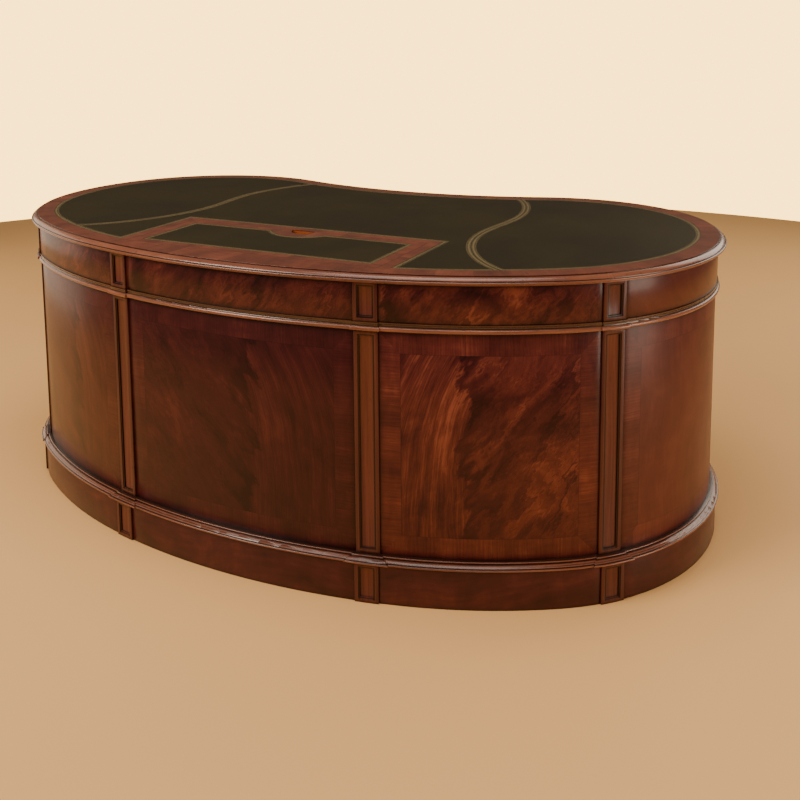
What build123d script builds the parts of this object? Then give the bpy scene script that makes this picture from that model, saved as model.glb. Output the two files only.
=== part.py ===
from build123d import *
import os
from math import acos, ceil, degrees, pi, radians, sin, sqrt

# Kidney shaped pedestal desk with a leather top.
# Millimetres. +Z is up, -Y is the convex visitor side, +Y the hollow sitter side.
# The origin is at the middle of the desk on the floor.

# Heights, from the floor up. The panels take what is left of the desk's height.
desk_height = 775.0
plinth_height = 96.0
base_moulding_height = 17.0
waist_height = 21.0
frieze_height = 93.0
board_thickness = 18.0
crossband_thickness = 2.0

# Kidney outline of the frieze wall: tangent arcs from the middle of the front to the hollow
front_radius = 1736.0
shoulder_radius = 1200.0
end_radius = 535.0
lobe_radius = 433.5
front_angle = 13.25
shoulder_angle = 18.65
end_angle = 80.4
hollow_angle = 19.95

# Walls, measured outwards from the frieze wall
frieze_thickness = 20.0
panel_inset = 3.5
panel_thickness = 20.0
plinth_overhang = 13.0
plinth_thickness = 47.0

# Pilasters
centre_panel_width = 649.0
pilaster_width = 57.0
side_panel_width = 504.0
pilaster_rise = 4.0
pilaster_frame = 9.0
pilaster_step = 3.5
pilaster_step_depth = 2.0
pilaster_field_depth = 5.5

# Sitter side
kneehole_width = 660.0
drawer_opening_width = 413.0
side_board_thickness = 20.0
guide_board_thickness = 16.0

# Edge moulding of the top
board_edge = -3.0
top_overhang = 2.5
edge_foot_height = 2.5
edge_foot_overhang = 17.5
edge_bead_radius = 2.75
edge_quirk_height = 1.0
edge_quirk_depth = 1.0
edge_ovolo_height = 8.5
edge_ovolo_bulge = 1.6
edge_moulding_length = 420.0

# Waist moulding
waist_bead_height = 11.0
waist_bead_rise = 6.5
waist_bead_root = 2.0
waist_cove_height = 7.0
waist_cove_depth = 1.0
waist_fillet_rise = 2.5

# Base moulding
base_bead_height = 5.0
base_bead_root = 18.6
base_bead_rise = 20.8
base_quirk_height = 1.2
base_quirk_depth = 1.8
base_ovolo_height = 5.2
base_ovolo_bulge = 0.95
base_step_height = 0.8
base_step_depth = 2.8
base_astragal_height = 3.8
base_astragal_root = 4.6
base_astragal_rise = 6.2

# Leather and tooled seams of the top
border_width = 46.0
leather_thickness = 1.6
seam_front_x = 640.0
seam_front_y = 158.0
seam_shoulder_x = 503.0
seam_shoulder_y = 300.0
seam_waist_x = 438.0
seam_waist_y = 535.0
seam_belly_x = 456.0
seam_belly_y = 745.0
seam_neck_x = 430.0
seam_neck_y = 905.0
seam_back_x = 330.0
seam_back_y = 1075.0

# Lid and the compartment under it, seen from the middle of the front
opening_width = 720.0
opening_depth = 278.0
opening_set_back = 80.5
frame_width = 28.0
lid_thickness = 14.0
lid_gap = 0.6
lid_band_width = 29.0
lid_front_band_width = 27.0
notch_width = 70.0
notch_depth = 35.0
tab_width = 162.0
tab_depth = 45.0
compartment_wall = 14.0
compartment_depth = 70.0
compartment_floor_thickness = 6.0
hinge_spacing = 520.0
hinge_radius = 4.5
hinge_length = 18.0
hinge_drop = 7.5

# Drawers
drawer_gap = 1.5
drawer_front_thickness = 20.0
cock_bead_width = 4.0
cock_bead_rise = 2.0
box_side_thickness = 11.0
box_back_thickness = 11.0
box_bottom_thickness = 6.0
box_bottom_rise = 8.0
box_side_play = 1.0
upper_drawer_height = 192.0
rail_height = 16.0
frieze_drawer_set_back = 700.0
centre_drawer_set_back = 620.0
pedestal_drawer_set_back = 640.0
box_top_play = 12.0
partition_set_back = 420.0
runner_lap = 12.0
guide_height = 28.0

# Turned knobs
knob_rose_radius = 13.0
knob_rose_thickness = 2.5
knob_rose_edge = 1.0
knob_neck_radius = 5.0
knob_head_radius = 12.0
knob_head_rise = 24.0
knob_dome_height = 4.0
knob_shank_radius = 2.5
knob_side_share = 0.25

# Fits
running_gap = 0.3
shank_clearance = 0.05
overrun = 50.0

# Levels worked out from the heights
plinth_top = plinth_height
panel_bottom = plinth_top + base_moulding_height
board_top = desk_height - crossband_thickness
frieze_top = board_top - board_thickness
lid_bottom = desk_height - lid_thickness
waist_top = frieze_top - frieze_height
panel_top = waist_top - waist_height
rail_top = panel_top - upper_drawer_height
rail_bottom = rail_top - rail_height

# Wall offsets worked out from the inset and the thicknesses
panel_face = -panel_inset
panel_back = panel_face - panel_thickness
plinth_back = plinth_overhang - plinth_thickness
leather_edge = top_overhang - border_width
knee_x = kneehole_width / 2
drawer_x0 = knee_x + pilaster_width
drawer_x1 = drawer_x0 + drawer_opening_width
half_turn = degrees(pi)


def normal(angle):
    """Return the outward direction of the wall where its normal has this angle."""
    return Vector(1, 0).rotate(Axis.Z, angle)


class Bend:
    """One arc of the outline. A negative radius bends the wall inwards.

    start and end are the angles of the wall's outward normal, and along is the distance
    from the middle of the front to the start of the arc, measured on the frieze wall.
    """

    def __init__(self, centre, radius, start, end, along):
        self.centre = centre
        self.radius = radius
        self.start = start
        self.end = end
        self.along = along
        self.length = radius * radians(end - start)

    def angle_at(self, along):
        """Return the normal's angle at a distance along the wall."""
        return self.start + degrees((along - self.along) / self.radius)

    def point(self, angle, offset):
        """Return the point of the wall at this normal angle, moved outwards by offset."""
        return self.centre + normal(angle) * (self.radius + offset)

    def edge(self, start, end, offset):
        """Return the arc between two normal angles, moved outwards by offset."""
        middle = (start + end) / 2
        ends = (self.point(start, offset), self.point(middle, offset), self.point(end, offset))
        return ThreePointArc(*ends)


def right_bends(front_y):
    """Return the arcs of the right half, from the middle of the front to the hollow."""
    lobe_angle = half_turn + hollow_angle - front_angle - shoulder_angle - end_angle
    radii = (front_radius, shoulder_radius, end_radius, lobe_radius)
    angles = (front_angle, shoulder_angle, end_angle, lobe_angle)
    bends = []
    angle = -half_turn / 2
    along = 0
    centre = Vector(0, front_y + front_radius)
    for radius, turn in zip(radii, angles):
        if bends:
            centre = bends[-1].centre + normal(angle) * (bends[-1].radius - radius)
        bends.append(Bend(centre, radius, angle, angle + turn, along))
        angle = angle + turn
        along = along + bends[-1].length
    meeting = bends[-1].point(angle, 0)
    hollow_radius = meeting.X / sin(radians(hollow_angle))
    centre = meeting + normal(angle) * hollow_radius
    bends.append(Bend(centre, -hollow_radius, angle, angle - hollow_angle, along))
    return bends


first_lobe = right_bends(0)[3]
half_depth = (first_lobe.centre.Y + lobe_radius) / 2
front_y = -half_depth
right = right_bends(front_y)
lobe = right[3]
hollow = right[4]
half_girth = hollow.along + hollow.length
left = [
    Bend(
        Vector(-bend.centre.X, bend.centre.Y),
        bend.radius,
        -half_turn - bend.end,
        -half_turn - bend.start,
        -bend.along - bend.length,
    )
    for bend in reversed(right)
]
outline = left + right


def spans(start, end):
    """Return (bend, start angle, end angle) for each arc between two distances along the wall."""
    found = []
    for bend in outline:
        low = max(start, bend.along)
        high = min(end, bend.along + bend.length)
        if high - low > running_gap / 100:
            found.append((bend, bend.angle_at(low), bend.angle_at(high)))
    merged = [found[0]]
    for bend, low, high in found[1:]:
        last, last_low, last_high = merged[-1]
        if (last.centre - bend.centre).length < running_gap / 100:
            merged[-1] = (last, last_low, high)
        else:
            merged.append((bend, low, high))
    return merged


def along_at(x):
    """Return the distance along the wall of the point on the sitter side with this x."""
    if x > hollow.point(hollow.start, 0).X:
        angle = degrees(acos((x - lobe.centre.X) / lobe_radius))
        return lobe.along + lobe_radius * radians(angle - lobe.start)
    angle = degrees(acos(x / hollow.radius))
    return hollow.along + hollow.radius * radians(angle - hollow.start)


def kidney(offset):
    """Return the whole outline as a face, moved outwards by offset."""
    edges = [bend.edge(low, high, offset) for bend, low, high in spans(-half_girth, half_girth)]
    return make_face(edges)


def strip(start, end, inner, outer):
    """Return the plan of a wall between two distances along it and two offsets."""
    pieces = spans(start, end)
    outside = [bend.edge(low, high, outer) for bend, low, high in pieces]
    inside = [bend.edge(low, high, inner) for bend, low, high in pieces]
    first, first_low, first_high = pieces[0]
    last, last_low, last_high = pieces[-1]
    ends = [
        Line(first.point(first_low, inner), first.point(first_low, outer)),
        Line(last.point(last_high, inner), last.point(last_high, outer)),
    ]
    return make_face(outside + inside + ends)


def slab(plan, bottom, top):
    """Raise a plan from one level to another."""
    return Pos(0, 0, bottom) * extrude(plan, amount=top - bottom)


def block(x0, x1, y0, y1, z0, z1):
    """Return a rectangular board between two corners."""
    middle = Pos((x0 + x1) / 2, (y0 + y1) / 2, (z0 + z1) / 2)
    return middle * Box(x1 - x0, y1 - y0, z1 - z0)


def wall(start, end, inner, outer, bottom, top):
    """Return a curved wall piece that ends square to its own face."""
    return slab(strip(start, end, inner, outer), bottom, top)


def sitter_wall(x0, x1, inner, outer, bottom, top):
    """Return a curved piece of the sitter side that ends on two planes along Y."""
    ring = kidney(outer) - kidney(inner)
    plan = ring & (Pos((x0 + x1) / 2, half_depth) * Rectangle(x1 - x0, 2 * half_depth))
    return slab(plan, bottom, top)


def mirrored(shape):
    """Return the left hand copy of a right hand piece."""
    return mirror(shape, about=Plane.YZ)


def pair(shape):
    """Return a right hand piece with its left hand copy."""
    return [shape, mirrored(shape)]


class Through:
    """A step of a section: an arc through a middle point to an end point."""

    def __init__(self, middle, end):
        self.middle = middle
        self.end = end


def section(path, place):
    """Return a closed section from its steps, each placed by the given function."""
    edges = []
    here = path[0]
    for step in path[1:] + path[:1]:
        if isinstance(step, Through):
            edges.append(ThreePointArc(place(*here), place(*step.middle), place(*step.end)))
            here = step.end
        else:
            edges.append(Line(place(*here), place(*step)))
            here = step
    return make_face(edges)


def shifted(path, distance, inner):
    """Return a section moved outwards, its back left at the inner offset."""
    moved = [(inner, path[0][1])]
    for step in path[1:]:
        if isinstance(step, Through):
            middle = (step.middle[0] + distance, step.middle[1])
            moved.append(Through(middle, (step.end[0] + distance, step.end[1])))
        else:
            moved.append((step[0] + distance, step[1]))
    moved.append((inner, path[-1][1]))
    return moved


def turned_lengths(path, start, end, longest):
    """Turn a section along the wall, in lengths of one arc each and no longer than asked."""
    lengths = []
    for bend, low, high in spans(start, end):
        side = 1 if bend.radius > 0 else -1
        reach = abs(bend.radius)
        count = ceil(reach * radians(abs(high - low)) / longest)
        for number in range(count):
            first = low + (high - low) * number / count
            outward = normal(first) * side
            plane = Plane(bend.centre, x_dir=outward, z_dir=outward.cross(Vector(0, 0, 1)))
            face = plane * section(path, lambda offset, z: (reach + side * offset, z))
            axis = Axis(bend.centre, (0, 0, 1 if high > low else -1))
            lengths.append(revolve(face, axis, abs(high - low) / count))
    return lengths


def moulding(path, start, end):
    """Turn a section along the wall as one piece."""
    return Part() + turned_lengths(path, start, end, 2 * half_girth)


def break_forward(path, wall_face, start, end):
    """Return the length of a moulding that steps forward over a pilaster, with mitred returns."""
    margin = pilaster_width
    forward = moulding(shifted(path, pilaster_rise, path[0][0]), start - margin, end + margin)
    half = (end - start) / 2
    bend, low, high = spans(start, end)[0]
    middle = bend.angle_at((start + end) / 2)
    plane = Plane(bend.point(middle, 0), x_dir=normal(middle + half_turn / 2), z_dir=normal(middle))
    core = wall_face - half
    outline_path = [(core, path[0][1])] + path[1:] + [(core, path[-1][1])]
    right_side = section(outline_path, lambda offset, z: (offset - core, z))
    left_side = mirror(right_side, about=Plane.YZ)
    plug = extrude(plane * (right_side + left_side), amount=margin, both=True)
    return forward & plug


pilasters = [
    (centre_panel_width / 2, centre_panel_width / 2 + pilaster_width),
    (
        centre_panel_width / 2 + pilaster_width + side_panel_width,
        centre_panel_width / 2 + 2 * pilaster_width + side_panel_width,
    ),
]
outer_end = along_at(drawer_x1)
outer_pilaster = (outer_end - pilaster_width, outer_end)
knee_pilaster = (along_at(drawer_x0), along_at(knee_x))
all_pilasters = pilasters + [outer_pilaster, knee_pilaster]


def pilaster(place, inner, face, bottom, rise_bottom, top):
    """Return one pilaster: a curved block with a sunk field in a stepped frame."""
    start, end = all_pilasters[place]
    spare = 0
    if place >= len(pilasters):
        spare = side_board_thickness
    low = start if place == 2 else start - spare
    high = end + spare
    front = face + pilaster_rise
    body = wall(low, high, inner, face, bottom, top)
    body = body + wall(low, high, face, front, rise_bottom, top)
    for frame, depth in (
        (pilaster_frame, pilaster_step_depth),
        (pilaster_frame + pilaster_step, pilaster_field_depth),
    ):
        field = strip(start + frame, end - frame, front - depth, front + depth)
        body = body - slab(field, rise_bottom + frame, top - frame)
    far = half_depth + overrun
    if place == 2:
        body = body - block(0, drawer_x1, 0, far, bottom - overrun, top + overrun)
    if place == 3:
        body = body & block(knee_x, drawer_x0, 0, far, bottom - overrun, top + overrun)
    return body


def pilaster_set(inner, face, bottom, rise_bottom, top):
    """Return the pilasters of one level, right and left."""
    blocks = []
    for place in range(len(all_pilasters)):
        blocks += pair(pilaster(place, inner, face, bottom, rise_bottom, top))
    return blocks


def level(inner, face, bottom, top):
    """Return the wall pieces of one level, without its pilasters: front, side and end."""
    first, second = pilasters
    centre = wall(-first[0], first[0], inner, face, bottom, top)
    side = wall(first[1], second[0], inner, face, bottom, top)
    end = wall(second[1], outer_pilaster[0], inner, face, bottom, top)
    return centre, side, end


# Sections of the mouldings, from the inner foot outwards, up and back
edge_bead_bottom = frieze_top + edge_foot_height
edge_bead_top = edge_bead_bottom + 2 * edge_bead_radius
edge_quirk_top = edge_bead_top + edge_quirk_height
edge_ovolo_top = edge_quirk_top + edge_ovolo_height
edge_quirk_offset = edge_foot_overhang - edge_quirk_depth
edge_ovolo_middle = (
    (edge_quirk_offset + top_overhang) / 2 + edge_ovolo_bulge,
    (edge_quirk_top + edge_ovolo_top) / 2 + edge_ovolo_bulge,
)
edge_path = [
    (board_edge, frieze_top),
    (edge_foot_overhang, frieze_top),
    (edge_foot_overhang, edge_bead_bottom),
    Through(
        (edge_foot_overhang + edge_bead_radius, edge_bead_bottom + edge_bead_radius),
        (edge_foot_overhang, edge_bead_top),
    ),
    (edge_quirk_offset, edge_bead_top),
    (edge_quirk_offset, edge_quirk_top),
    Through(edge_ovolo_middle, (top_overhang, edge_ovolo_top)),
    (top_overhang, board_top),
    (board_edge, board_top),
]

waist_bead_top = panel_top + waist_bead_height
waist_cove_top = waist_bead_top + waist_cove_height
waist_path = [
    (panel_face, panel_top),
    (waist_bead_root, panel_top),
    Through(
        (waist_bead_rise, panel_top + waist_bead_height / 2),
        (waist_bead_root, waist_bead_top),
    ),
    Through(
        (waist_bead_root - waist_cove_depth, waist_bead_top + waist_cove_height / 2),
        (waist_fillet_rise, waist_cove_top),
    ),
    (waist_fillet_rise, waist_top),
    (panel_face, waist_top),
]

base_bead_top = plinth_top + base_bead_height
base_quirk_top = base_bead_top + base_quirk_height
base_quirk_offset = base_bead_root - base_quirk_depth
base_ovolo_top = base_quirk_top + base_ovolo_height
base_step_offset = base_astragal_root + base_step_depth
base_step_top = base_ovolo_top + base_step_height
base_astragal_top = base_step_top + base_astragal_height
base_path = [
    (panel_face, plinth_top),
    (base_bead_root, plinth_top),
    Through(
        (base_bead_rise, plinth_top + base_bead_height / 2),
        (base_bead_root, base_bead_top),
    ),
    (base_quirk_offset, base_quirk_top - base_quirk_height / 2),
    (base_quirk_offset, base_quirk_top),
    Through(
        (
            (base_quirk_offset + base_step_offset + base_ovolo_bulge) / 2,
            (base_quirk_top + base_ovolo_top) / 2 + base_ovolo_bulge,
        ),
        (base_step_offset, base_ovolo_top),
    ),
    (base_astragal_root, base_step_top),
    Through(
        (base_astragal_rise, base_step_top + base_astragal_height / 2),
        (base_astragal_root, base_astragal_top),
    ),
    (panel_face, panel_bottom),
]


def ring_moulding(path, wall_face, start, end):
    """Return a moulding that follows the wall and breaks forward over every pilaster."""
    ring = moulding(path, start, end)
    for low, high in all_pilasters:
        bump = break_forward(path, wall_face, low, high)
        ring = ring + bump + mirrored(bump)
    return ring


def opening_plan(clearance=0):
    """Return the plan of the lid opening, or of the lid when it is made smaller."""
    middle = Pos(0, front_y + opening_set_back + opening_depth / 2)
    return middle * Rectangle(opening_width - 2 * clearance, opening_depth - 2 * clearance)


def seam_side():
    """Return the plan right of the right hand tooled seam, an S between front and hollow."""
    points = [
        (seam_front_x, front_y + seam_front_y),
        (seam_shoulder_x, front_y + seam_shoulder_y),
        (seam_waist_x, front_y + seam_waist_y),
        (seam_belly_x, front_y + seam_belly_y),
        (seam_neck_x, front_y + seam_neck_y),
        (seam_back_x, front_y + seam_back_y),
    ]
    seam = Spline(*points)
    far = 2 * half_depth
    corners = [points[-1], (points[-1][0], far), (far, far), (far, -far), (points[0][0], -far), points[0]]
    return make_face([seam, *Polyline(*corners).edges()])


def lid_frame_plan():
    """Return the plan of the fixed frame round the lid, filled, as far as the border."""
    back = front_y + opening_set_back + opening_depth + frame_width
    half = opening_width / 2 + frame_width
    return Pos(0, (back + front_y - top_overhang) / 2) * Rectangle(2 * half, back - front_y + top_overhang)


def top_pieces():
    """Return the board, its edge moulding, the crossbanding and the leathers."""
    opening = opening_plan()
    board = slab(kidney(board_edge) - opening, frieze_top, board_top)
    for bore in hinge_barrels(-1):
        board = board - bore
    edge = turned_lengths(edge_path, -half_girth, half_girth, edge_moulding_length)
    field = kidney(leather_edge) - lid_frame_plan()
    crossband = slab(kidney(top_overhang) - field - opening, board_top, desk_height)
    right_field = field & seam_side()
    left_field = mirror(right_field, about=Plane.YZ)
    centre_field = field - right_field - left_field
    leather_top = board_top + leather_thickness
    return {
        "top_board": board,
        "top_edge_moulding": edge,
        "top_crossband": crossband,
        "leather_left": slab(left_field, board_top, leather_top),
        "leather_centre": slab(centre_field, board_top, leather_top),
        "leather_right": slab(right_field, board_top, leather_top),
    }


def hinge_barrels(side):
    """Return the two hinge barrels on one side of the joint: -1 in the board, +1 in the lid."""
    joint = front_y + opening_set_back + lid_gap / 2
    near = joint + side * lid_gap / 2
    middle = near + side * hinge_length / 2
    level_z = desk_height - hinge_drop
    return [
        Pos(x, middle, level_z) * Rot(half_turn / 2, 0, 0) * Cylinder(hinge_radius, hinge_length)
        for x in (-hinge_spacing / 2, hinge_spacing / 2)
    ]


def lid_field(lid_back):
    """Return the plan of the lid's leather, cut away round the tab that holds the notch."""
    field_front = front_y + opening_set_back + lid_front_band_width
    field_back = lid_back - lid_front_band_width
    field_width = opening_width - 2 * lid_band_width
    field = Rectangle(field_width, field_back - field_front)
    left_foot = (-tab_width / 2, field_back)
    right_foot = (tab_width / 2, field_back)
    tab = make_face(
        [
            ThreePointArc(left_foot, (0, field_back - tab_depth), right_foot),
            Line(left_foot, right_foot),
        ]
    )
    return Pos(0, (field_front + field_back) / 2) * field - tab


def lid_pieces():
    """Return the lid with its notch, its leather and the hinge barrels."""
    lid_back = front_y + opening_set_back + opening_depth - lid_gap
    notch = Pos(0, lid_back) * Ellipse(notch_width / 2, notch_depth)
    field = lid_field(lid_back)
    board = slab(opening_plan(lid_gap) - notch, lid_bottom, desk_height)
    board = board - slab(field, board_top, desk_height + overrun)
    for bore in hinge_barrels(1):
        board = board - bore
    return {
        "lid_board": board,
        "lid_leather": slab(field, board_top, board_top + leather_thickness),
        "lid_hinge_barrels_fixed": hinge_barrels(-1),
        "lid_hinge_barrels_moving": hinge_barrels(1),
    }


def compartment_pieces():
    """Return the walls and the floor of the compartment under the lid."""
    wall_top = lid_bottom - running_gap
    wall_bottom = wall_top - compartment_depth
    half = opening_width / 2
    inner_half = half - compartment_wall
    y0 = front_y + opening_set_back
    y1 = y0 + opening_depth
    sides = pair(block(inner_half, half, y0, y1, wall_bottom, wall_top))
    for near in (y0, y1 - compartment_wall):
        far = near + compartment_wall
        sides.append(block(-inner_half, inner_half, near, far, wall_bottom, wall_top))
    floor_top = wall_bottom + compartment_floor_thickness
    floor = slab(opening_plan(compartment_wall), wall_bottom, floor_top)
    return {"compartment_sides": sides, "compartment_floor": floor}


def section_floor():
    """Return the board under the frieze, which carries the top section and its drawers."""
    return slab(kidney(panel_face), panel_top, waist_top)


def base_ring():
    """Return the base moulding, open across the kneehole on the sitter side."""
    reach = along_at(knee_x) + side_board_thickness
    ring = ring_moulding(base_path, panel_face, -reach, reach)
    gap = block(-knee_x, knee_x, 0, half_depth + overrun, plinth_top - overrun, panel_bottom + overrun)
    return ring - gap


def inside(shape, offset):
    """Cut a board back to the outline moved by offset."""
    box = shape.bounding_box()
    return shape & slab(kidney(offset), box.min.Z - overrun, box.max.Z + overrun)


def kneehole_side():
    """Return the flat side of the right pedestal that faces the kneehole."""
    x1 = knee_x + side_board_thickness
    return inside(block(knee_x, x1, -half_depth, half_depth, plinth_top, panel_top), panel_back)


def pedestal_floor():
    """Return the floor board of the right pedestal."""
    x0 = knee_x + side_board_thickness
    far = 2 * half_depth
    return inside(block(x0, far, -far, far, plinth_top, panel_bottom), panel_back)


def plinth_returns():
    """Return the right plinth pieces under the drawers and along the kneehole."""
    x1 = knee_x + side_board_thickness + plinth_thickness - panel_thickness - plinth_overhang - panel_inset
    under = sitter_wall(drawer_x0, drawer_x1, plinth_back, plinth_overhang, 0, plinth_top)
    along = inside(block(knee_x, x1, -half_depth, half_depth, 0, plinth_top), plinth_back)
    return [under, along]


def drawer_rails():
    """Return the bottom rail and the middle rail of the right pedestal."""
    return [
        sitter_wall(drawer_x0, drawer_x1, panel_back, panel_face, plinth_top, panel_bottom),
        sitter_wall(drawer_x0, drawer_x1, panel_back, panel_face, rail_bottom, rail_top),
    ]


def partition_boards():
    """Return the right frieze boards between which the frieze drawers slide."""
    y0 = front_y + partition_set_back
    x1 = knee_x + side_board_thickness
    guide_x = drawer_x1 + guide_board_thickness
    boards = [
        block(knee_x, x1, y0, half_depth, waist_top, frieze_top),
        block(drawer_x1, guide_x, y0, half_depth, waist_top, frieze_top),
        block(x1, drawer_x0, y0, half_depth, waist_top, waist_top + guide_height),
    ]
    return [inside(board, -frieze_thickness) for board in boards]


def pedestal_guides():
    """Return the guide board, the runners and the guides of the right pedestal."""
    y0 = front_y + partition_set_back
    x1 = knee_x + side_board_thickness
    guide_x = drawer_x1 + guide_board_thickness
    boards = [
        block(drawer_x1, guide_x, y0, half_depth, panel_bottom, panel_top),
        block(x1, drawer_x0, y0, half_depth, panel_bottom, panel_bottom + guide_height),
        block(x1, drawer_x0 + runner_lap, y0, half_depth, rail_bottom, rail_top),
        block(x1, drawer_x0, y0, half_depth, rail_top, rail_top + guide_height),
        block(drawer_x1 - runner_lap, drawer_x1, y0, half_depth, rail_bottom, rail_top),
    ]
    return [inside(board, panel_back) for board in boards]


class Drawer:
    """One drawer: where its opening is, which wall its front follows and how far back it goes."""

    def __init__(self, x0, x1, face, bottom, top, set_back):
        self.x0 = x0
        self.x1 = x1
        self.face = face
        self.bottom = bottom
        self.top = top
        self.back_y = front_y + set_back
        self.front_back = face - drawer_front_thickness

    def knob_planes(self):
        """Return where the knobs stand, square to the curved front."""
        width = self.x1 - self.x0
        level_z = (self.bottom + self.top) / 2
        planes = []
        for share in (knob_side_share, 1 - knob_side_share):
            x = self.x0 + share * width
            along = along_at(abs(x))
            bend, low, high = spans(along, along + running_gap)[0]
            spot = bend.point(low, self.face)
            facing = normal(low)
            if x < 0:
                spot = Vector(-spot.X, spot.Y)
                facing = Vector(-facing.X, facing.Y)
            planes.append(Plane(spot + Vector(0, 0, level_z), z_dir=facing))
        return planes

    def front(self):
        """Return the curved front with its raised cock bead and the holes for the knobs."""
        x0, x1 = self.x0 + drawer_gap, self.x1 - drawer_gap
        z0, z1 = self.bottom + drawer_gap, self.top - drawer_gap
        proud = self.face + cock_bead_rise
        body = sitter_wall(x0, x1, self.front_back, self.face, z0, z1)
        bead = sitter_wall(x0, x1, self.face, proud, z0, z1)
        field = block(
            x0 + cock_bead_width,
            x1 - cock_bead_width,
            0,
            half_depth + overrun,
            z0 + cock_bead_width,
            z1 - cock_bead_width,
        )
        body = body + (bead - field)
        for plane in self.knob_planes():
            hole = Cylinder(knob_shank_radius + shank_clearance, 2 * overrun)
            body = body - plane * hole
        return body

    def box(self):
        """Return the boards of the box: two sides, the back and the bottom."""
        x0, x1 = self.x0 + box_side_play, self.x1 - box_side_play
        z0, z1 = self.bottom + running_gap, self.top - box_top_play
        y0, y1 = self.back_y, half_depth
        inner_x0, inner_x1 = x0 + box_side_thickness, x1 - box_side_thickness
        inner_y0 = y0 + box_back_thickness
        bottom_z = z0 + box_bottom_rise
        boards = [
            block(x0, inner_x0, y0, y1, z0, z1),
            block(inner_x1, x1, y0, y1, z0, z1),
            block(inner_x0, inner_x1, y0, inner_y0, z0, z1),
            block(inner_x0, inner_x1, inner_y0, y1, bottom_z, bottom_z + box_bottom_thickness),
        ]
        return [inside(board, self.front_back) for board in boards]

    def knobs(self):
        """Return the turned knobs with their shanks and the nuts behind the front."""
        return [plane * knob() for plane in self.knob_planes()]


def knob():
    """Return one knob, turned about Z, its rose against the plane z = 0."""
    seat = shank_clearance * 2
    rose_top = seat + knob_rose_thickness
    rim_z = knob_head_rise - knob_dome_height
    neck_z = (rose_top + rim_z) / 2
    dome_radius = (knob_head_radius**2 + knob_dome_height**2) / (2 * knob_dome_height)
    half = knob_head_radius / 2
    crown_z = knob_head_rise - dome_radius + sqrt(dome_radius**2 - half**2)
    nut_face = -drawer_front_thickness - seat
    nut_back = nut_face - knob_rose_thickness
    turned = [
        (0, nut_back),
        (knob_neck_radius, nut_back),
        (knob_neck_radius, nut_face),
        (knob_shank_radius, nut_face),
        (knob_shank_radius, seat),
        (knob_rose_radius, seat),
        (knob_rose_radius, seat + knob_rose_edge),
        Through(((knob_rose_radius + knob_neck_radius) / 2, rose_top), (knob_neck_radius, neck_z)),
        (knob_head_radius, rim_z - knob_rose_edge),
        (knob_head_radius, rim_z),
        Through((half, crown_z), (0, knob_head_rise)),
    ]
    return revolve(section(turned, lambda radius, z: (radius, 0, z)), Axis.Z)


def all_drawers():
    """Return the named drawers, those of the right side before they are mirrored."""
    frieze = Drawer(drawer_x0, drawer_x1, 0, waist_top, frieze_top, frieze_drawer_set_back)
    upper = Drawer(drawer_x0, drawer_x1, panel_face, rail_top, panel_top, pedestal_drawer_set_back)
    lower = Drawer(drawer_x0, drawer_x1, panel_face, panel_bottom, rail_bottom, pedestal_drawer_set_back)
    centre = Drawer(-knee_x, knee_x, 0, waist_top, frieze_top, centre_drawer_set_back)
    return {"frieze": frieze, "upper": upper, "lower": lower}, centre


def save(node, shape):
    """Write one node. Several separate solids are written as one group."""
    solids = shape if isinstance(shape, list) else [shape]
    group = [solid for piece in solids for solid in piece.solids()]
    export_step(Compound(children=group), os.path.join("parts", node + ".step"))


def main():
    """Build every piece and write it to its own file."""
    os.makedirs("parts", exist_ok=True)
    nodes = {}
    nodes.update(top_pieces())
    nodes.update(lid_pieces())
    nodes.update(compartment_pieces())

    centre, side, end = level(-frieze_thickness, 0, waist_top, frieze_top)
    nodes["frieze_front_centre"] = centre
    nodes["frieze_front_right"], nodes["frieze_front_left"] = pair(side)
    nodes["frieze_end_right"], nodes["frieze_end_left"] = pair(end)
    nodes["frieze_pilasters"] = pilaster_set(-frieze_thickness, 0, waist_top, waist_top, frieze_top)
    nodes["frieze_partitions"] = [piece for board in partition_boards() for piece in pair(board)]
    nodes["section_floor"] = section_floor()
    nodes["waist_moulding"] = ring_moulding(waist_path, 0, -half_girth, half_girth)

    centre, side, end = level(panel_back, panel_face, plinth_top, panel_top)
    nodes["modesty_panel"] = centre
    nodes["front_panel_right"], nodes["front_panel_left"] = pair(side)
    nodes["end_panel_right"], nodes["end_panel_left"] = pair(end)
    nodes["panel_pilasters"] = pilaster_set(panel_back, panel_face, plinth_top, panel_bottom, panel_top)
    nodes["kneehole_side_right"], nodes["kneehole_side_left"] = pair(kneehole_side())
    nodes["pedestal_floors"] = pair(pedestal_floor())
    nodes["drawer_rails"] = [piece for rail in drawer_rails() for piece in pair(rail)]
    nodes["drawer_guides"] = [piece for board in pedestal_guides() for piece in pair(board)]
    nodes["base_moulding"] = base_ring()

    centre, side, end = level(plinth_back, plinth_overhang, 0, plinth_top)
    nodes["plinth_front"] = [centre, *pair(side)]
    nodes["plinth_ends"] = pair(end)
    nodes["plinth_pilasters"] = pilaster_set(plinth_back, plinth_overhang, 0, 0, plinth_top)
    nodes["plinth_returns"] = [piece for board in plinth_returns() for piece in pair(board)]

    sides, centre = all_drawers()
    for name, drawer in sides.items():
        for part_name, pieces in (
            ("front", [drawer.front()]),
            ("box", drawer.box()),
            ("knobs", drawer.knobs()),
        ):
            nodes[name + "_drawer_right_" + part_name] = pieces
            nodes[name + "_drawer_left_" + part_name] = [mirrored(piece) for piece in pieces]
    nodes["centre_drawer_front"] = centre.front()
    nodes["centre_drawer_box"] = centre.box()
    nodes["centre_drawer_knobs"] = centre.knobs()

    for node, shape in nodes.items():
        save(node, shape)
    print("wrote", len(nodes), "nodes")


main()
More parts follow.
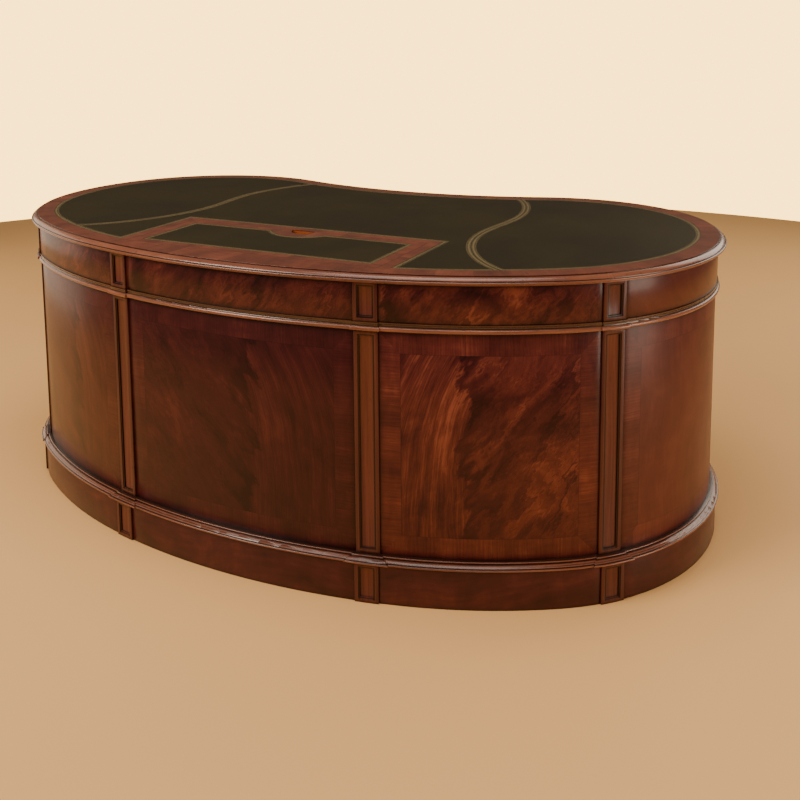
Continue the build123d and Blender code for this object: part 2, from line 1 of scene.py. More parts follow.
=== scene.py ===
"""Kidney shaped pedestal desk: the finishes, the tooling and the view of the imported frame."""
import logging
import math
from contextlib import contextmanager
from dataclasses import dataclass, field
from enum import Enum
from typing import Callable, Iterator, Sequence

import bmesh
import bpy
from bmesh.types import BMesh, BMFace, BMVert
from bpy.types import Material, MeshPolygon, Object
from mathutils import Matrix, Vector


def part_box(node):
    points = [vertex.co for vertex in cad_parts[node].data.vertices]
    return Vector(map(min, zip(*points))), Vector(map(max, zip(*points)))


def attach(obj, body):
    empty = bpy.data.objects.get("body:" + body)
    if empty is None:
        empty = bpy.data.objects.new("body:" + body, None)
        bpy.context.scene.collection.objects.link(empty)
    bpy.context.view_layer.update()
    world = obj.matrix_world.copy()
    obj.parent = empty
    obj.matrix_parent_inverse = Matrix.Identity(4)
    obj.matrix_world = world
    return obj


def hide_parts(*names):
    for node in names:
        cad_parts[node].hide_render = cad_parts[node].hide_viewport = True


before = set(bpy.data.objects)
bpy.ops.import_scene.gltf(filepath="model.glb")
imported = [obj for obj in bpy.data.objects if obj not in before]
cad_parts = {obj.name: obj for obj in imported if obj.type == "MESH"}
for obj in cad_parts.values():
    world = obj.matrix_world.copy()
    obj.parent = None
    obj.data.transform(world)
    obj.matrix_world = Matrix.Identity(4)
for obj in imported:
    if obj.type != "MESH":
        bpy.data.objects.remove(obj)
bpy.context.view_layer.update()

LOG = logging.getLogger("kidney_desk")
VENEER_MAP = "veneer"
Colour = tuple[float, float, float]
Number = float | int
Span = tuple[float, float]


# ---------------------------------------------------------------- plan of the desk


def heading(angle: float) -> Vector:
    """Direction in the plan that has this angle in degrees."""
    return Vector((math.cos(math.radians(angle)), math.sin(math.radians(angle))))


def side_of(x: float) -> float:
    """1 on the right half of the desk and -1 on the left."""
    return 1.0 if x >= 0 else -1.0


@dataclass(frozen=True)
class Arc:
    """One arc of the right half of the wall. A negative radius bends the wall inwards."""

    centre: Vector
    radius: float
    start: float
    end: float
    along: float

    @property
    def length(self) -> float:
        """Length of the arc on the wall."""
        return self.radius * math.radians(self.end - self.start)

    def point(self, angle: float) -> Vector:
        """Point of the wall where its normal has this angle."""
        return self.centre + heading(angle) * self.radius

    def locate(self, spot: Vector) -> tuple[float, float, float]:
        """Place a point against this arc.

        Args:
            spot: The point in plan.

        Returns:
            Distance along the wall, offset from it, and degrees outside the arc's ends.
        """
        reach = spot - self.centre
        if self.radius < 0:
            reach = -reach
        angle = math.degrees(math.atan2(reach.y, reach.x))
        low, high = min(self.start, self.end), max(self.start, self.end)
        offset = math.copysign(1.0, self.radius) * reach.length - self.radius
        along = self.along + self.radius * math.radians(angle - self.start)
        return along, offset, max(low - angle, angle - high, 0.0)


@dataclass
class Outline:
    """The kidney outline of the frieze wall, in metres and degrees."""

    radii: tuple[float, ...] = (1.736, 1.200, 0.535, 0.4335)
    turns: tuple[float, ...] = (13.25, 18.65, 80.4)
    hollow_turn: float = 19.95
    slack: float = 0.05
    pull: float = 0.05
    arcs: list[Arc] = field(default_factory=list)
    front_y: float = 0.0

    def __post_init__(self) -> None:
        """Lay out the arcs and centre them on the origin."""
        lobe = self._lay_out(0.0)[3]
        self.front_y = -(lobe.centre.y + lobe.radius) / 2
        self.arcs = self._lay_out(self.front_y)

    def _lay_out(self, front_y: float) -> list[Arc]:
        """Lay the right half's arcs end to end.

        Args:
            front_y: Y of the middle of the front.

        Returns:
            The arcs from the middle of the front to the middle of the hollow.
        """
        turns = (*self.turns, 180.0 + self.hollow_turn - sum(self.turns))
        arcs: list[Arc] = []
        angle, along = -90.0, 0.0
        centre = Vector((0.0, front_y + self.radii[0]))
        for radius, turn in zip(self.radii, turns):
            if arcs:
                centre = arcs[-1].centre + heading(angle) * (arcs[-1].radius - radius)
            arcs.append(Arc(centre, radius, angle, angle + turn, along))
            angle += turn
            along += arcs[-1].length
        meeting = arcs[-1].point(angle)
        hollow_radius = meeting.x / math.sin(math.radians(self.hollow_turn))
        arcs.append(Arc(meeting + heading(angle) * hollow_radius, -hollow_radius, angle, 90.0, along))
        return arcs

    def unroll(self, x: float, y: float, side: float) -> tuple[float, float]:
        """Unroll a point of the plan onto the wall.

        Args:
            x: Place along X.
            y: Place along Y.
            side: 1 for the right half and -1 for the left.

        Returns:
            Distance along the wall from the middle of the front, and offset outwards.
        """
        spot = Vector((x * side, y))
        found = [arc.locate(spot) for arc in self.arcs]
        along, offset, _ = min(found, key=lambda f: (f[2] > self.slack, abs(f[1]) + f[2] * self.pull))
        return along * side, offset

    def unroll_hollow(self, x: float, y: float) -> tuple[float, float]:
        """Unroll a point of a piece that lies across the middle of the hollow.

        Args:
            x: Place along X.
            y: Place along Y.

        Returns:
            Distance along the wall from the middle of the hollow, and offset outwards.
        """
        side = side_of(x)
        along, offset = self.unroll(x, y, side)
        return along - side * (self.arcs[-1].along + self.arcs[-1].length), offset


PLAN = Outline()


# ---------------------------------------------------------------- shader maths


def operation(kind: str, swapped: bool = False) -> Callable[..., "Value"]:
    """Make a method of Value that adds one Math node.

    Args:
        kind: The node's operation.
        swapped: Whether the value comes second, as in a reflected operator.

    Returns:
        The method.
    """

    def method(self: "Value", other: "Value | Number" = 0.0) -> "Value":
        """Add the Math node of this value and another."""
        return self.bench.maths(kind, other, self) if swapped else self.bench.maths(kind, self, other)

    return method


@dataclass(frozen=True)
class Value:
    """A number that changes over a surface, with the arithmetic of Math nodes."""

    bench: "Bench"
    socket: bpy.types.NodeSocket

    __add__ = __radd__ = operation("ADD")
    __mul__ = __rmul__ = operation("MULTIPLY")
    __sub__ = operation("SUBTRACT")
    __rsub__ = operation("SUBTRACT", swapped=True)
    __truediv__ = operation("DIVIDE")
    __rtruediv__ = operation("DIVIDE", swapped=True)
    __abs__ = operation("ABSOLUTE")
    least = operation("MINIMUM")
    most = operation("MAXIMUM")
    below = operation("LESS_THAN")
    floor = operation("FLOOR")
    fract = operation("FRACT")

    def rise(self, low: Number, high: Number) -> "Value":
        """A smooth step from 0 at low to 1 at high, which is below low for a falling step."""
        inputs = {"Value": self, "From Min": low, "From Max": high}
        return self.bench.node("ShaderNodeMapRange", {"interpolation_type": "SMOOTHSTEP"}, inputs)


Amount = Value | Number
Spot = tuple[Amount, Amount, Amount]


class Bench:
    """Makes one material, or the surround: its nodes, and the way they are joined."""

    def __init__(self, name: str, world: bpy.types.World | None = None) -> None:
        """Start an empty material.

        Args:
            name: Name of the finish.
            world: The surround, if it is what is made.
        """
        self.material = world or bpy.data.materials.new(name)
        self.material.use_nodes = True
        self.tree = self.material.node_tree
        self.tree.nodes.clear()

    def node(
        self, kind: str, settings: dict | None = None, inputs: dict | None = None, output: int | str = 0
    ) -> Value:
        """Add one node.

        Args:
            kind: The node's type.
            settings: What is set on the node first; "stops" are a ramp's positions and colours.
            inputs: Values or links of its sockets, by name or number.
            output: The socket that is wanted.

        Returns:
            The wanted output.
        """
        made = self.tree.nodes.new(kind)
        for key, setting in (settings or {}).items():
            if key == "stops":
                self._set_stops(made.color_ramp, setting)
            else:
                setattr(made, key, setting)
        for key, given in (inputs or {}).items():
            socket = made.inputs[key]
            if isinstance(given, Value):
                self.tree.links.new(given.socket, socket)
            elif isinstance(given, tuple) and len(given) == 3 and socket.type == "RGBA":
                socket.default_value = (*given, 1.0)
            else:
                socket.default_value = given
        return Value(self, made.outputs[output])

    def _set_stops(self, ramp: bpy.types.ColorRamp, stops: Sequence[tuple[float, Colour]]) -> None:
        """Place a ramp's stops.

        Args:
            ramp: The ramp.
            stops: Their positions and colours.
        """
        while len(ramp.elements) < len(stops):
            ramp.elements.new(1.0)
        for element, (position, colour) in zip(ramp.elements, stops):
            element.position = position
            element.color = (*colour, 1.0)

    def maths(self, operation: str, first: Amount, second: Amount = 0.0) -> Value:
        """One Math node of two values."""
        return self.node("ShaderNodeMath", {"operation": operation}, {0: first, 1: second})

    def vector(self, x: Amount, y: Amount, z: Amount = 0.0) -> Value:
        """A point from its three parts."""
        return self.node("ShaderNodeCombineXYZ", None, {"X": x, "Y": y, "Z": z})

    def split(self, vector: Value) -> tuple[Value, Value, Value]:
        """The three parts of a point."""
        made = self.node("ShaderNodeSeparateXYZ", None, {"Vector": vector})
        return tuple(Value(self, part) for part in made.socket.node.outputs)

    def veneer(self) -> tuple[Value, Value]:
        """Distance along and across a piece, from its own veneer map."""
        u, v, _ = self.split(self.node("ShaderNodeUVMap", {"uv_map": VENEER_MAP}))
        return u, v

    def place(self) -> tuple[Value, Value, Value]:
        """Place in the desk, in metres."""
        return self.split(self.node("ShaderNodeTexCoord", output="Object"))

    def noise(self, spot: Spot, detail: float = 2.0, rough: float = 0.5, swirl: float = 0.0) -> Value:
        """Cloudy noise of scale 1.

        Args:
            spot: The three parts of the point where it is read.
            detail: Number of finer layers.
            rough: Share of each finer layer.
            swirl: How far it is distorted.

        Returns:
            A value about 0.5.
        """
        inputs = {"Vector": self.vector(*spot), "Scale": 1.0, "Detail": detail, "Roughness": rough}
        return self.node("ShaderNodeTexNoise", None, {**inputs, "Distortion": swirl})

    def chance(self, *cell: Amount) -> Value:
        """An even random value for each whole-numbered cell."""
        inputs = {"Vector": self.vector(*cell)}
        return self.node("ShaderNodeTexWhiteNoise", {"noise_dimensions": "3D"}, inputs)

    def openness(self, reach: float, inside: bool = False, samples: int = 6) -> Value:
        """How open a spot is, which is 1 on a plain face.

        Args:
            reach: How far off, in metres, other faces count.
            inside: Whether to look into the piece, which finds its edges, and not out of it.
            samples: Number of rays.

        Returns:
            A value from 0 to 1.
        """
        settings = {"samples": samples, "inside": inside, "only_local": inside}
        return self.node("ShaderNodeAmbientOcclusion", settings, {"Distance": reach}, output="AO")

    def ramp(self, value: Value, stops: Sequence[tuple[float, Colour]]) -> Value:
        """Colours from a value."""
        return self.node("ShaderNodeValToRGB", {"stops": stops}, {0: value})

    def blend(
        self, share: Amount, first: Value | Colour, second: Value | Colour, way: str = "MIX"
    ) -> Value:
        """Two colours mixed, the second over the first by a share."""
        settings = {"data_type": "RGBA", "blend_type": way, "clamp_factor": True}
        return self.node("ShaderNodeMix", settings, {0: share, 6: first, 7: second}, output=2)

    def shade(self, colour: Value, strength: Value) -> Value:
        """A colour made lighter or darker by a value about 1."""
        grey = self.node("ShaderNodeCombineColor", None, {0: strength, 1: strength, 2: strength})
        return self.blend(1.0, colour, grey, "MULTIPLY")

    def bump(self, height: Value, depth: float, strength: float = 1.0) -> Value:
        """A normal bent by a height, of which 1 stands for a depth in metres."""
        return self.node("ShaderNodeBump", None, {"Height": height, "Distance": depth, "Strength": strength})

    def finish(self, inputs: dict) -> Material:
        """Close the material with one Principled shader.

        Args:
            inputs: Values or links of the shader's sockets.

        Returns:
            The finished material.
        """
        self.show(self.node("ShaderNodeBsdfPrincipled", None, inputs), "ShaderNodeOutputMaterial")
        return self.material

    def show(self, shader: Value, kind: str) -> None:
        """Join a shader to an output of this kind."""
        self.tree.links.new(shader.socket, self.tree.nodes.new(kind).inputs["Surface"])


# ---------------------------------------------------------------- finishes


class Figure(Enum):
    """How the grain of a wood is drawn."""

    STRAIGHT = "straight"
    CROSSED = "crossed"
    FLAME = "flame"
    CURL = "curl"


@dataclass(frozen=True)
class Tones:
    """Four tones of a polished wood, from its darkest to its lightest."""

    deep: Colour
    dark: Colour
    warm: Colour
    light: Colour

    def stops(self, low: float, high: float) -> list[tuple[float, Colour]]:
        """Spread the tones evenly between two values.

        Args:
            low: The value of the deepest tone.
            high: The value of the lightest tone.

        Returns:
            The stops of a ramp.
        """
        colours = (self.deep, self.dark, self.warm, self.light)
        step = (high - low) / (len(colours) - 1)
        return [(low + step * place, colour) for place, colour in enumerate(colours)]


FLAME_TONES = Tones(
    (0.0190, 0.0025, 0.0034), (0.049, 0.0077, 0.0084), (0.103, 0.0212, 0.0162), (0.222, 0.0590, 0.0360)
)
SATIN_TONES = Tones(
    (0.0280, 0.0047, 0.0038), (0.056, 0.0106, 0.0078), (0.091, 0.0202, 0.0142), (0.142, 0.0375, 0.0250)
)
SOLID_TONES = Tones(
    (0.0340, 0.0076, 0.0060), (0.077, 0.0198, 0.0132), (0.130, 0.0378, 0.0225), (0.205, 0.0680, 0.0390)
)
RUN_TONES = Tones(
    (0.0420, 0.0105, 0.0066), (0.122, 0.0360, 0.0190), (0.205, 0.0700, 0.0355), (0.320, 0.1200, 0.0620)
)
BAND_TONES = Tones(
    (0.0540, 0.0106, 0.0056), (0.113, 0.0250, 0.0120), (0.183, 0.0455, 0.0208), (0.260, 0.0750, 0.0350)
)
NOTCH_TONES = Tones((0.16, 0.030, 0.006), (0.30, 0.068, 0.012), (0.44, 0.115, 0.020), (0.58, 0.18, 0.034))
LINING_TONES = Tones((0.19, 0.10, 0.045), (0.30, 0.175, 0.085), (0.40, 0.25, 0.13), (0.50, 0.33, 0.18))


@dataclass(frozen=True)
class Polish:
    """The polish over a wood."""

    rough: float = 0.30
    spread: float = 0.10
    coat: float = 0.22
    coat_rough: float = 0.10
    level: float = 0.26
    grain_depth: float = 0.00012


@dataclass(frozen=True)
class ShadeAndGlaze:
    """Dark old wax and painted shade that lie in a hollow of a moulding, at one level."""

    level: float
    half_width: float
    strength: float


@dataclass(frozen=True)
class ShadeAndWear:
    """How the polish is darkened in corners by painted shade and grime, and rubbed along edges."""

    corner: float = 0.010
    corner_shade_strength: float = 0.55
    edge: float = 0.0025
    edge_strength: float = 0.45

    def shade_corners_and_rub_edges(self, bench: Bench, colour: Value) -> Value:
        """Darken a colour in its corners with painted shade and grime, and lighten it along its rubbed edges.

        Args:
            bench: The material's bench.
            colour: The colour.

        Returns:
            The colour with painted corner shade and rubbed edges.
        """
        # Painted shade, with some grime: darker where nearby faces hide the surround.
        corner_shade_and_grime = bench.openness(self.corner).rise(0.95, 0.45)
        colour = bench.shade(colour, 1.0 - corner_shade_and_grime * self.corner_shade_strength)
        rub = bench.openness(self.edge, inside=True).rise(0.40, 0.75)
        return bench.shade(colour, rub * self.edge_strength + 1.0)


@dataclass(frozen=True)
class Wood:
    """A polished wood with its tones, its figure and its polish."""

    tones: Tones
    figure: Figure = Figure.STRAIGHT
    polish: Polish = Polish()
    contrast: tuple[float, float] = (0.36, 0.66)
    tilt: float = 0.0
    seed: float = 0.0
    lean: float = 1.0
    spine: float = -0.06

    def tone(self, bench: Bench, along: Value, across: Value) -> Value:
        """Draw the figure.

        Args:
            bench: The material's bench.
            along: Metres along the grain.
            across: Metres across the grain.

        Returns:
            A tone about 0.5.
        """
        seed = self.seed
        sway = bench.noise((along * 2.2, across * 2.2, seed + 7.3), 2.0)
        if self.figure is Figure.STRAIGHT:
            broad = bench.noise((along * 1.4, across * 16.0 + sway * 0.8, seed), 3.0)
            fine = bench.noise((along * 3.5, across * 120.0 + sway * 5.0, seed + 1.0), 4.0, 0.6)
            return broad * 0.5 + fine * 0.5
        if self.figure is Figure.CROSSED:
            broad = bench.noise((along * 3.0, across * 14.0, seed), 2.0)
            crossed = (along * 14.0 + sway * 2.0, across * 260.0 + sway * 9.0, seed + 1.0)
            fine = bench.noise(crossed, 4.0, 0.6)
            ripple = bench.noise((along * 60.0, across * 22.0, seed + 4.0), 1.0)
            return broad * 0.45 + fine * 0.37 + ripple * 0.18
        if self.figure is Figure.CURL:
            broad = bench.noise((along * 4.5, across * 11.0 + sway * 3.0, seed), 3.0, 0.55, 1.2)
            fine = bench.noise((along * 9.0 + broad * 2.0, across * 90.0 + sway * 12.0, seed + 1.0), 4.0, 0.6)
            mottle = bench.noise((along * 26.0, across * 12.0, seed + 5.0), 3.0, 0.6)
            return broad * 0.50 + fine * 0.24 + mottle * 0.26
        return self._flame(bench, along, across * self.lean)

    def _flame(self, bench: Bench, along: Value, across: Value) -> Value:
        """Draw a crotch figure: a plume of fine streaks beside a dark, ragged spine, and wings beyond it.

        Args:
            bench: The material's bench.
            along: Metres up from the foot of the panel.
            across: Metres from its middle, towards the side the streaks lean to.

        Returns:
            A tone about 0.5.
        """
        seed = self.seed
        sway = bench.noise((along * 6.0, across * 6.0, seed), 3.0) - 0.5
        ragged = bench.noise((along * 19.0 - across * 15.0, across * 12.0, seed + 3.0), 4.0, 0.66) - 0.5
        away = across - self.spine + ragged * 0.20
        plume_side = away.rise(0.010, -0.010)
        patch = bench.noise((along * 10.0 - across * 6.0, across * 8.0, seed + 5.0), 4.0, 0.60, 0.8)

        rise = (along - 0.05).most(0.0)
        strand = across - rise * rise * rise * 1.1 + sway * 0.018
        strands = bench.noise((strand * 55.0, along * 5.5, seed + 1.0), 4.0, 0.62, 0.25)
        hairs = bench.noise((strand * 330.0, along * 9.0, seed + 2.0), 4.0, 0.6)
        glow = abs(strand - self.spine + 0.065).rise(0.070, 0.0) * rise.rise(0.0, 0.25)
        plume = strands * 0.38 + hairs * 0.28 + patch * 0.34 + glow * 0.085

        reach = away.most(0.0)
        sweep = along - reach * 0.6 - reach * reach * 4.5 + sway * 0.05
        wings = bench.noise((sweep * 15.0, reach * 6.0, seed + 4.0), 4.0, 0.6, 0.5)
        barbs = bench.noise((sweep * 150.0, reach * 14.0, seed + 6.0), 3.0, 0.6)
        shade = reach.rise(0.070, 0.0)
        wing = wings * 0.40 + barbs * 0.11 + patch * 0.49 - shade * 0.13
        return plume_side * (plume - wing) + wing

    def lay(self, bench: Bench, along: Value, across: Value) -> tuple[Value, Value, Value]:
        """Lay the wood on a surface.

        Args:
            bench: The material's bench.
            along: Metres along the grain.
            across: Metres across the grain.

        Returns:
            Its colour, its roughness and the height of its grain.
        """
        turn = math.radians(self.tilt)
        if self.tilt:
            along, across = (
                along * math.cos(turn) + across * math.sin(turn),
                across * math.cos(turn) - along * math.sin(turn),
            )
        tone = self.tone(bench, along, across)
        colour = bench.ramp(tone, self.tones.stops(*self.contrast))
        pore = bench.noise((along * 55.0, across * 900.0, self.seed + 11.0), 2.0).rise(0.60, 0.72)
        speck = bench.noise((along * 18.0, across * 26.0, self.seed + 17.0), 3.0, 0.7).rise(0.66, 0.78)
        colour = bench.shade(colour, 1.0 - pore * 0.28 - speck * 0.35)
        smear = bench.noise((along * 6.0, across * 6.0, self.seed + 23.0), 3.0)
        rough = smear * self.polish.spread * 2.0 + (self.polish.rough - self.polish.spread)
        ripple = bench.noise((along * 9.0, across * 9.0, self.seed + 29.0), 1.0)
        return colour, rough, ripple * 3.0 - pore * 0.35 + tone * 0.3

    def close(
        self, bench: Bench, colour: Value, rough: Value, height: Value, shade_and_wear: ShadeAndWear | None = None
    ) -> Material:
        """Put the polish on.

        Args:
            bench: The material's bench.
            colour: The wood's colour.
            rough: The wood's roughness.
            height: The height of its grain.
            shade_and_wear: Its painted corner shade and rubbed edges, if it has them.

        Returns:
            The finished material.
        """
        # Painted shade in the corners, with some grime, and lighter rubbed edges.
        if shade_and_wear:
            colour = shade_and_wear.shade_corners_and_rub_edges(bench, colour)
        return bench.finish(
            {
                "Base Color": colour,
                "Roughness": rough,
                "Specular IOR Level": self.polish.level,
                "Coat Weight": self.polish.coat,
                "Coat Roughness": self.polish.coat_rough,
                "Normal": bench.bump(height, self.polish.grain_depth),
            }
        )


def board_finish(name: str, wood: Wood, axes: str, drift: float = 0.83) -> Material:
    """Make a solid board, its grain along one axis of the desk.

    Args:
        name: Name of the finish.
        wood: The wood.
        axes: The axis along the grain and the one across it, such as "zx".
        drift: How far the third axis moves the grain across.

    Returns:
        The material.
    """
    bench = Bench(name)
    place = dict(zip("xyz", bench.place()))
    third = place[({"x", "y", "z"} - set(axes)).pop()]
    return wood.close(bench, *wood.lay(bench, place[axes[0]], place[axes[1]] + third * drift))


def run_finish(
    name: str, wood: Wood, shade_and_wear: ShadeAndWear | None = None, shade_and_glaze_lines: Sequence[ShadeAndGlaze] = ()
) -> Material:
    """Lay a wood along a piece's own veneer map.

    Args:
        name: Name of the finish.
        wood: The wood.
        shade_and_wear: Its painted corner shade and rubbed edges, if it has them.
        shade_and_glaze_lines: Dark bands in the hollows of a moulding, of old wax and painted shade.

    Returns:
        The material.
    """
    bench = Bench(name)
    colour, rough, height = wood.lay(bench, *bench.veneer())
    if shade_and_glaze_lines:
        # Dark bands at set levels: old wax in the quirks, and painted shade on the members that lie in shadow
        # under and behind the beads.
        _, _, z = bench.place()
        for shade_and_glaze in shade_and_glaze_lines:
            line = abs(z - shade_and_glaze.level).rise(shade_and_glaze.half_width, shade_and_glaze.half_width * 0.3)
            colour = bench.shade(colour, 1.0 - line * shade_and_glaze.strength)
    return wood.close(bench, colour, rough, height, shade_and_wear)


def crossband_finish(name: str, wood: Wood, lengths: float = 0.085) -> Material:
    """Lay crossbanding: short lengths of veneer side by side, their grain across the band.

    Args:
        name: Name of the finish.
        wood: The wood.
        lengths: Length of one piece along the band, in metres.

    Returns:
        The material.
    """
    bench = Bench(name)
    u, v = bench.veneer()
    draw = bench.chance((u / lengths).floor(), 3.0, wood.seed)
    colour, rough, height = wood.lay(bench, v + draw * 4.0, u + v * (draw - 0.5) * 0.25)
    edge = abs((u / lengths).fract() - 0.5).rise(0.492, 0.5)
    colour = bench.shade(colour, (draw * 0.26 + 0.87) * (1.0 - edge * 0.20))
    return wood.close(bench, colour, rough, height)


@dataclass(frozen=True)
class PanelFinish:
    """A veneered panel: a figured field in a mitred crossband border with a thin dark line.

    A width of 0 leaves out the border, the bead or the painted shadow under the moulding above.
    """

    field: Wood
    border: Wood
    border_width: float = 0.050
    joint: float = 0.0003
    veneer_length: float = 0.07
    line_width: float = 0.0009
    line_strength: float = 0.32
    mitre_width: float = 0.0007
    mitre_core: float = 0.0002
    mitre_strength: float = 0.22
    bead: float = 0.0
    bead_half: float = 0.0012
    bead_strength: float = 0.82
    soffit_shadow: float = 0.0
    soffit_shadow_strength: float = 0.65
    # Painted shade: width and strength of the darkening towards the panel's edges.
    grime_and_shade: float = 0.016
    edge_shade_strength: float = 0.35
    numbered: bool = False
    shade_and_wear: ShadeAndWear = ShadeAndWear(0.010, 0.45, 0.002, 0.2)

    def material(self, name: str, span: Span, rise: Span) -> Material:
        """Lay the panel out.

        Args:
            name: Name of the finish.
            span: Where the panel starts and ends along the wall.
            rise: Its lowest and highest level.

        Returns:
            The material.
        """
        bench = Bench(name)
        u, v = bench.veneer()
        local = u.fract() if self.numbered else u
        sides = (local - span[0]).least(span[1] - local)
        heads = (v - rise[0]).least(rise[1] - v)
        inward = sides.least(heads)
        colour, rough, height = self.field.lay(bench, v - rise[0], u - sum(span) / 2)
        if self.border_width:
            at_side = sides.below(heads)
            along = at_side * (u - v) + v
            across = at_side * (v - u) + u
            band, band_rough, _ = self.border.lay(bench, along, across)
            draw = bench.chance((across / self.veneer_length).floor(), at_side, self.border.seed)
            band = bench.shade(band, draw * 0.30 + 0.86)
            inside = inward.rise(self.border_width - self.joint, self.border_width + self.joint)
            colour = bench.blend(inside, band, colour)
            rough = inside * (rough - band_rough) + band_rough
            line = abs(inward - self.border_width).rise(self.line_width, self.line_width * 0.4)
            mitre = abs(sides - heads).rise(self.mitre_width, self.mitre_core) * (1.0 - inside)
            colour = bench.shade(colour, 1.0 - line * self.line_strength - mitre * self.mitre_strength)
        if self.bead:
            # A dark line inside the edges: a groove on the drawer fronts, and dark glaze with painted shade
            # round the pilasters' sunk fields.
            groove_and_recess_shade = abs(inward - self.bead).rise(self.bead_half, self.bead_half * 0.4)
            colour = bench.shade(colour, 1.0 - groove_and_recess_shade * self.bead_strength)
        # Painted shadow along the top of the board, under the moulding above.
        if self.soffit_shadow:
            under = (rise[1] - v).rise(self.soffit_shadow, self.soffit_shadow * 0.2)
            colour = bench.shade(colour, 1.0 - under * self.soffit_shadow_strength)
        # Painted shade, darker towards every edge of the panel where it meets the mouldings and pilasters.
        colour = bench.shade(colour, 1.0 - inward.rise(self.grime_and_shade, 0.0) * self.edge_shade_strength)
        return self.field.close(bench, colour, rough, height, self.shade_and_wear)


@dataclass(frozen=True)
class Hide:
    """Dressed leather with a fine grain."""

    deep: Colour = (0.0142, 0.0110, 0.0024)
    lift: Colour = (0.0300, 0.0222, 0.0055)
    seed: float = 0.0
    pebbles: float = 420.0
    pores: float = 700.0

    def surface(self, bench: Bench) -> tuple[Value, Value, Value]:
        """Lay the hide.

        Args:
            bench: The material's bench.

        Returns:
            Its colour, its roughness and the height of its grain.
        """
        x, y, z = bench.place()
        cloud = bench.noise((x * 3.0, y * 3.0, self.seed), 4.0, 0.6, 0.4)
        drag = bench.noise((x * 4.0, y * 26.0, self.seed + 2.0), 3.0)
        inputs = {"Vector": bench.vector(*(part * self.pebbles for part in (x, y, z))), "Scale": 1.0}
        cell = bench.node("ShaderNodeTexVoronoi", {"feature": "DISTANCE_TO_EDGE"}, inputs)
        crease = cell.rise(0.0, 0.16)
        fine = bench.noise(tuple(part * self.pores for part in (x, y, z)), 2.0)
        colour = bench.blend(cloud.rise(0.32, 0.70) * 0.75 + drag * 0.25, self.deep, self.lift)
        colour = bench.shade(colour, crease * 0.25 + 0.80)
        rough = cloud * 0.16 + 0.43 - crease * 0.05
        return colour, rough, crease * 0.7 + fine * 0.3

    def material(self, name: str) -> Material:
        """Make the plain hide.

        Args:
            name: Name of the finish.

        Returns:
            The material.
        """
        bench = Bench(name)
        colour, rough, height = self.surface(bench)
        return bench.finish(
            {
                "Base Color": colour,
                "Roughness": rough,
                "Specular IOR Level": 0.22,
                "Normal": bench.bump(height, 0.00012, 0.7),
            }
        )


@dataclass(frozen=True)
class Gilding:
    """Gold leaf pressed into the hide, a little rubbed."""

    leaf: Colour = (0.44, 0.335, 0.155)
    hide: Hide = Hide()

    def material(self, name: str, pitch: float, width: float = 0.0) -> Material:
        """Make a dotted gold line, or a roll of small beads and waves.

        Args:
            name: Name of the finish.
            pitch: Spacing of the dots or beads.
            width: Width of the roll, or 0 for a line.

        Returns:
            The material.
        """
        bench = Bench(name)
        colour, rough, height = self.hide.surface(bench)
        x, y, _ = bench.place()
        rubbed = bench.noise((x * 160.0, y * 160.0, 5.0), 3.0, 0.65).rise(0.30, 0.44)
        patch = bench.noise((x * 9.0, y * 9.0, 8.0), 2.0).rise(0.30, 0.55)
        gold = rubbed * (patch * 0.30 + 0.42)
        u, v = bench.veneer()
        cell = (u / pitch).fract() - 0.5
        if width:
            lift = (v / width) - 0.5
            reach = cell * cell * (pitch * pitch) + lift * lift * (width * width)
            bead = reach.rise((width * 0.30) ** 2, (width * 0.20) ** 2)
            wave = abs(abs(lift) - 0.33 - abs(cell) * 0.26).rise(0.13, 0.05)
            gold = gold * bead.most(wave)
        else:
            gold = gold * (abs(cell).rise(0.42, 0.30) * 0.85 + 0.15)
        colour = bench.blend(gold, colour, self.leaf)
        return bench.finish(
            {
                "Base Color": colour,
                "Roughness": gold * -0.12 + rough,
                "Metallic": gold * 0.7,
                "Specular IOR Level": 0.35,
                "Normal": bench.bump(height, 0.0001, 0.5),
            }
        )


@dataclass(frozen=True)
class Brass:
    """Polished brass, gone a little brown in its hollows."""

    bright: Colour = (0.66, 0.45, 0.17)
    aged: Colour = (0.23, 0.13, 0.045)
    hollow: float = 0.008

    def material(self, name: str) -> Material:
        """Make the brass.

        Args:
            name: Name of the finish.

        Returns:
            The material.
        """
        bench = Bench(name)
        x, y, z = bench.place()
        spot = bench.noise((x * 60.0, y * 60.0, z * 60.0), 4.0, 0.6)
        grime_and_shade = bench.openness(self.hollow).rise(0.92, 0.35)
        colour = bench.blend((spot.rise(0.42, 0.68) * 0.35).most(grime_and_shade), self.bright, self.aged)
        return bench.finish(
            {
                "Base Color": colour,
                "Metallic": 1.0,
                "Roughness": spot * 0.22 + 0.10 + grime_and_shade * 0.25,
                "Normal": bench.bump(spot, 0.00006, 0.5),
            }
        )


# ---------------------------------------------------------------- making pieces


def clear_selection() -> None:
    """Deselect everything, as each operator acts on all that is selected."""
    for each in list(bpy.context.selected_objects):
        each.select_set(False)


def pick(piece: Object) -> None:
    """Select one piece alone and make it the active one.

    Args:
        piece: The piece.
    """
    clear_selection()
    piece.select_set(True)
    bpy.context.view_layer.objects.active = piece


def pick_faces(piece: Object, wanted: Callable[[BMFace], bool]) -> None:
    """Select the wanted faces of a piece that is in edit mode.

    Args:
        piece: The piece.
        wanted: Tells whether a face is wanted.
    """
    bpy.ops.mesh.select_mode(type="FACE")
    shape = bmesh.from_edit_mesh(piece.data)
    for face in shape.faces:
        face.select_set(wanted(face))
    shape.select_flush_mode()
    bmesh.update_edit_mesh(piece.data)


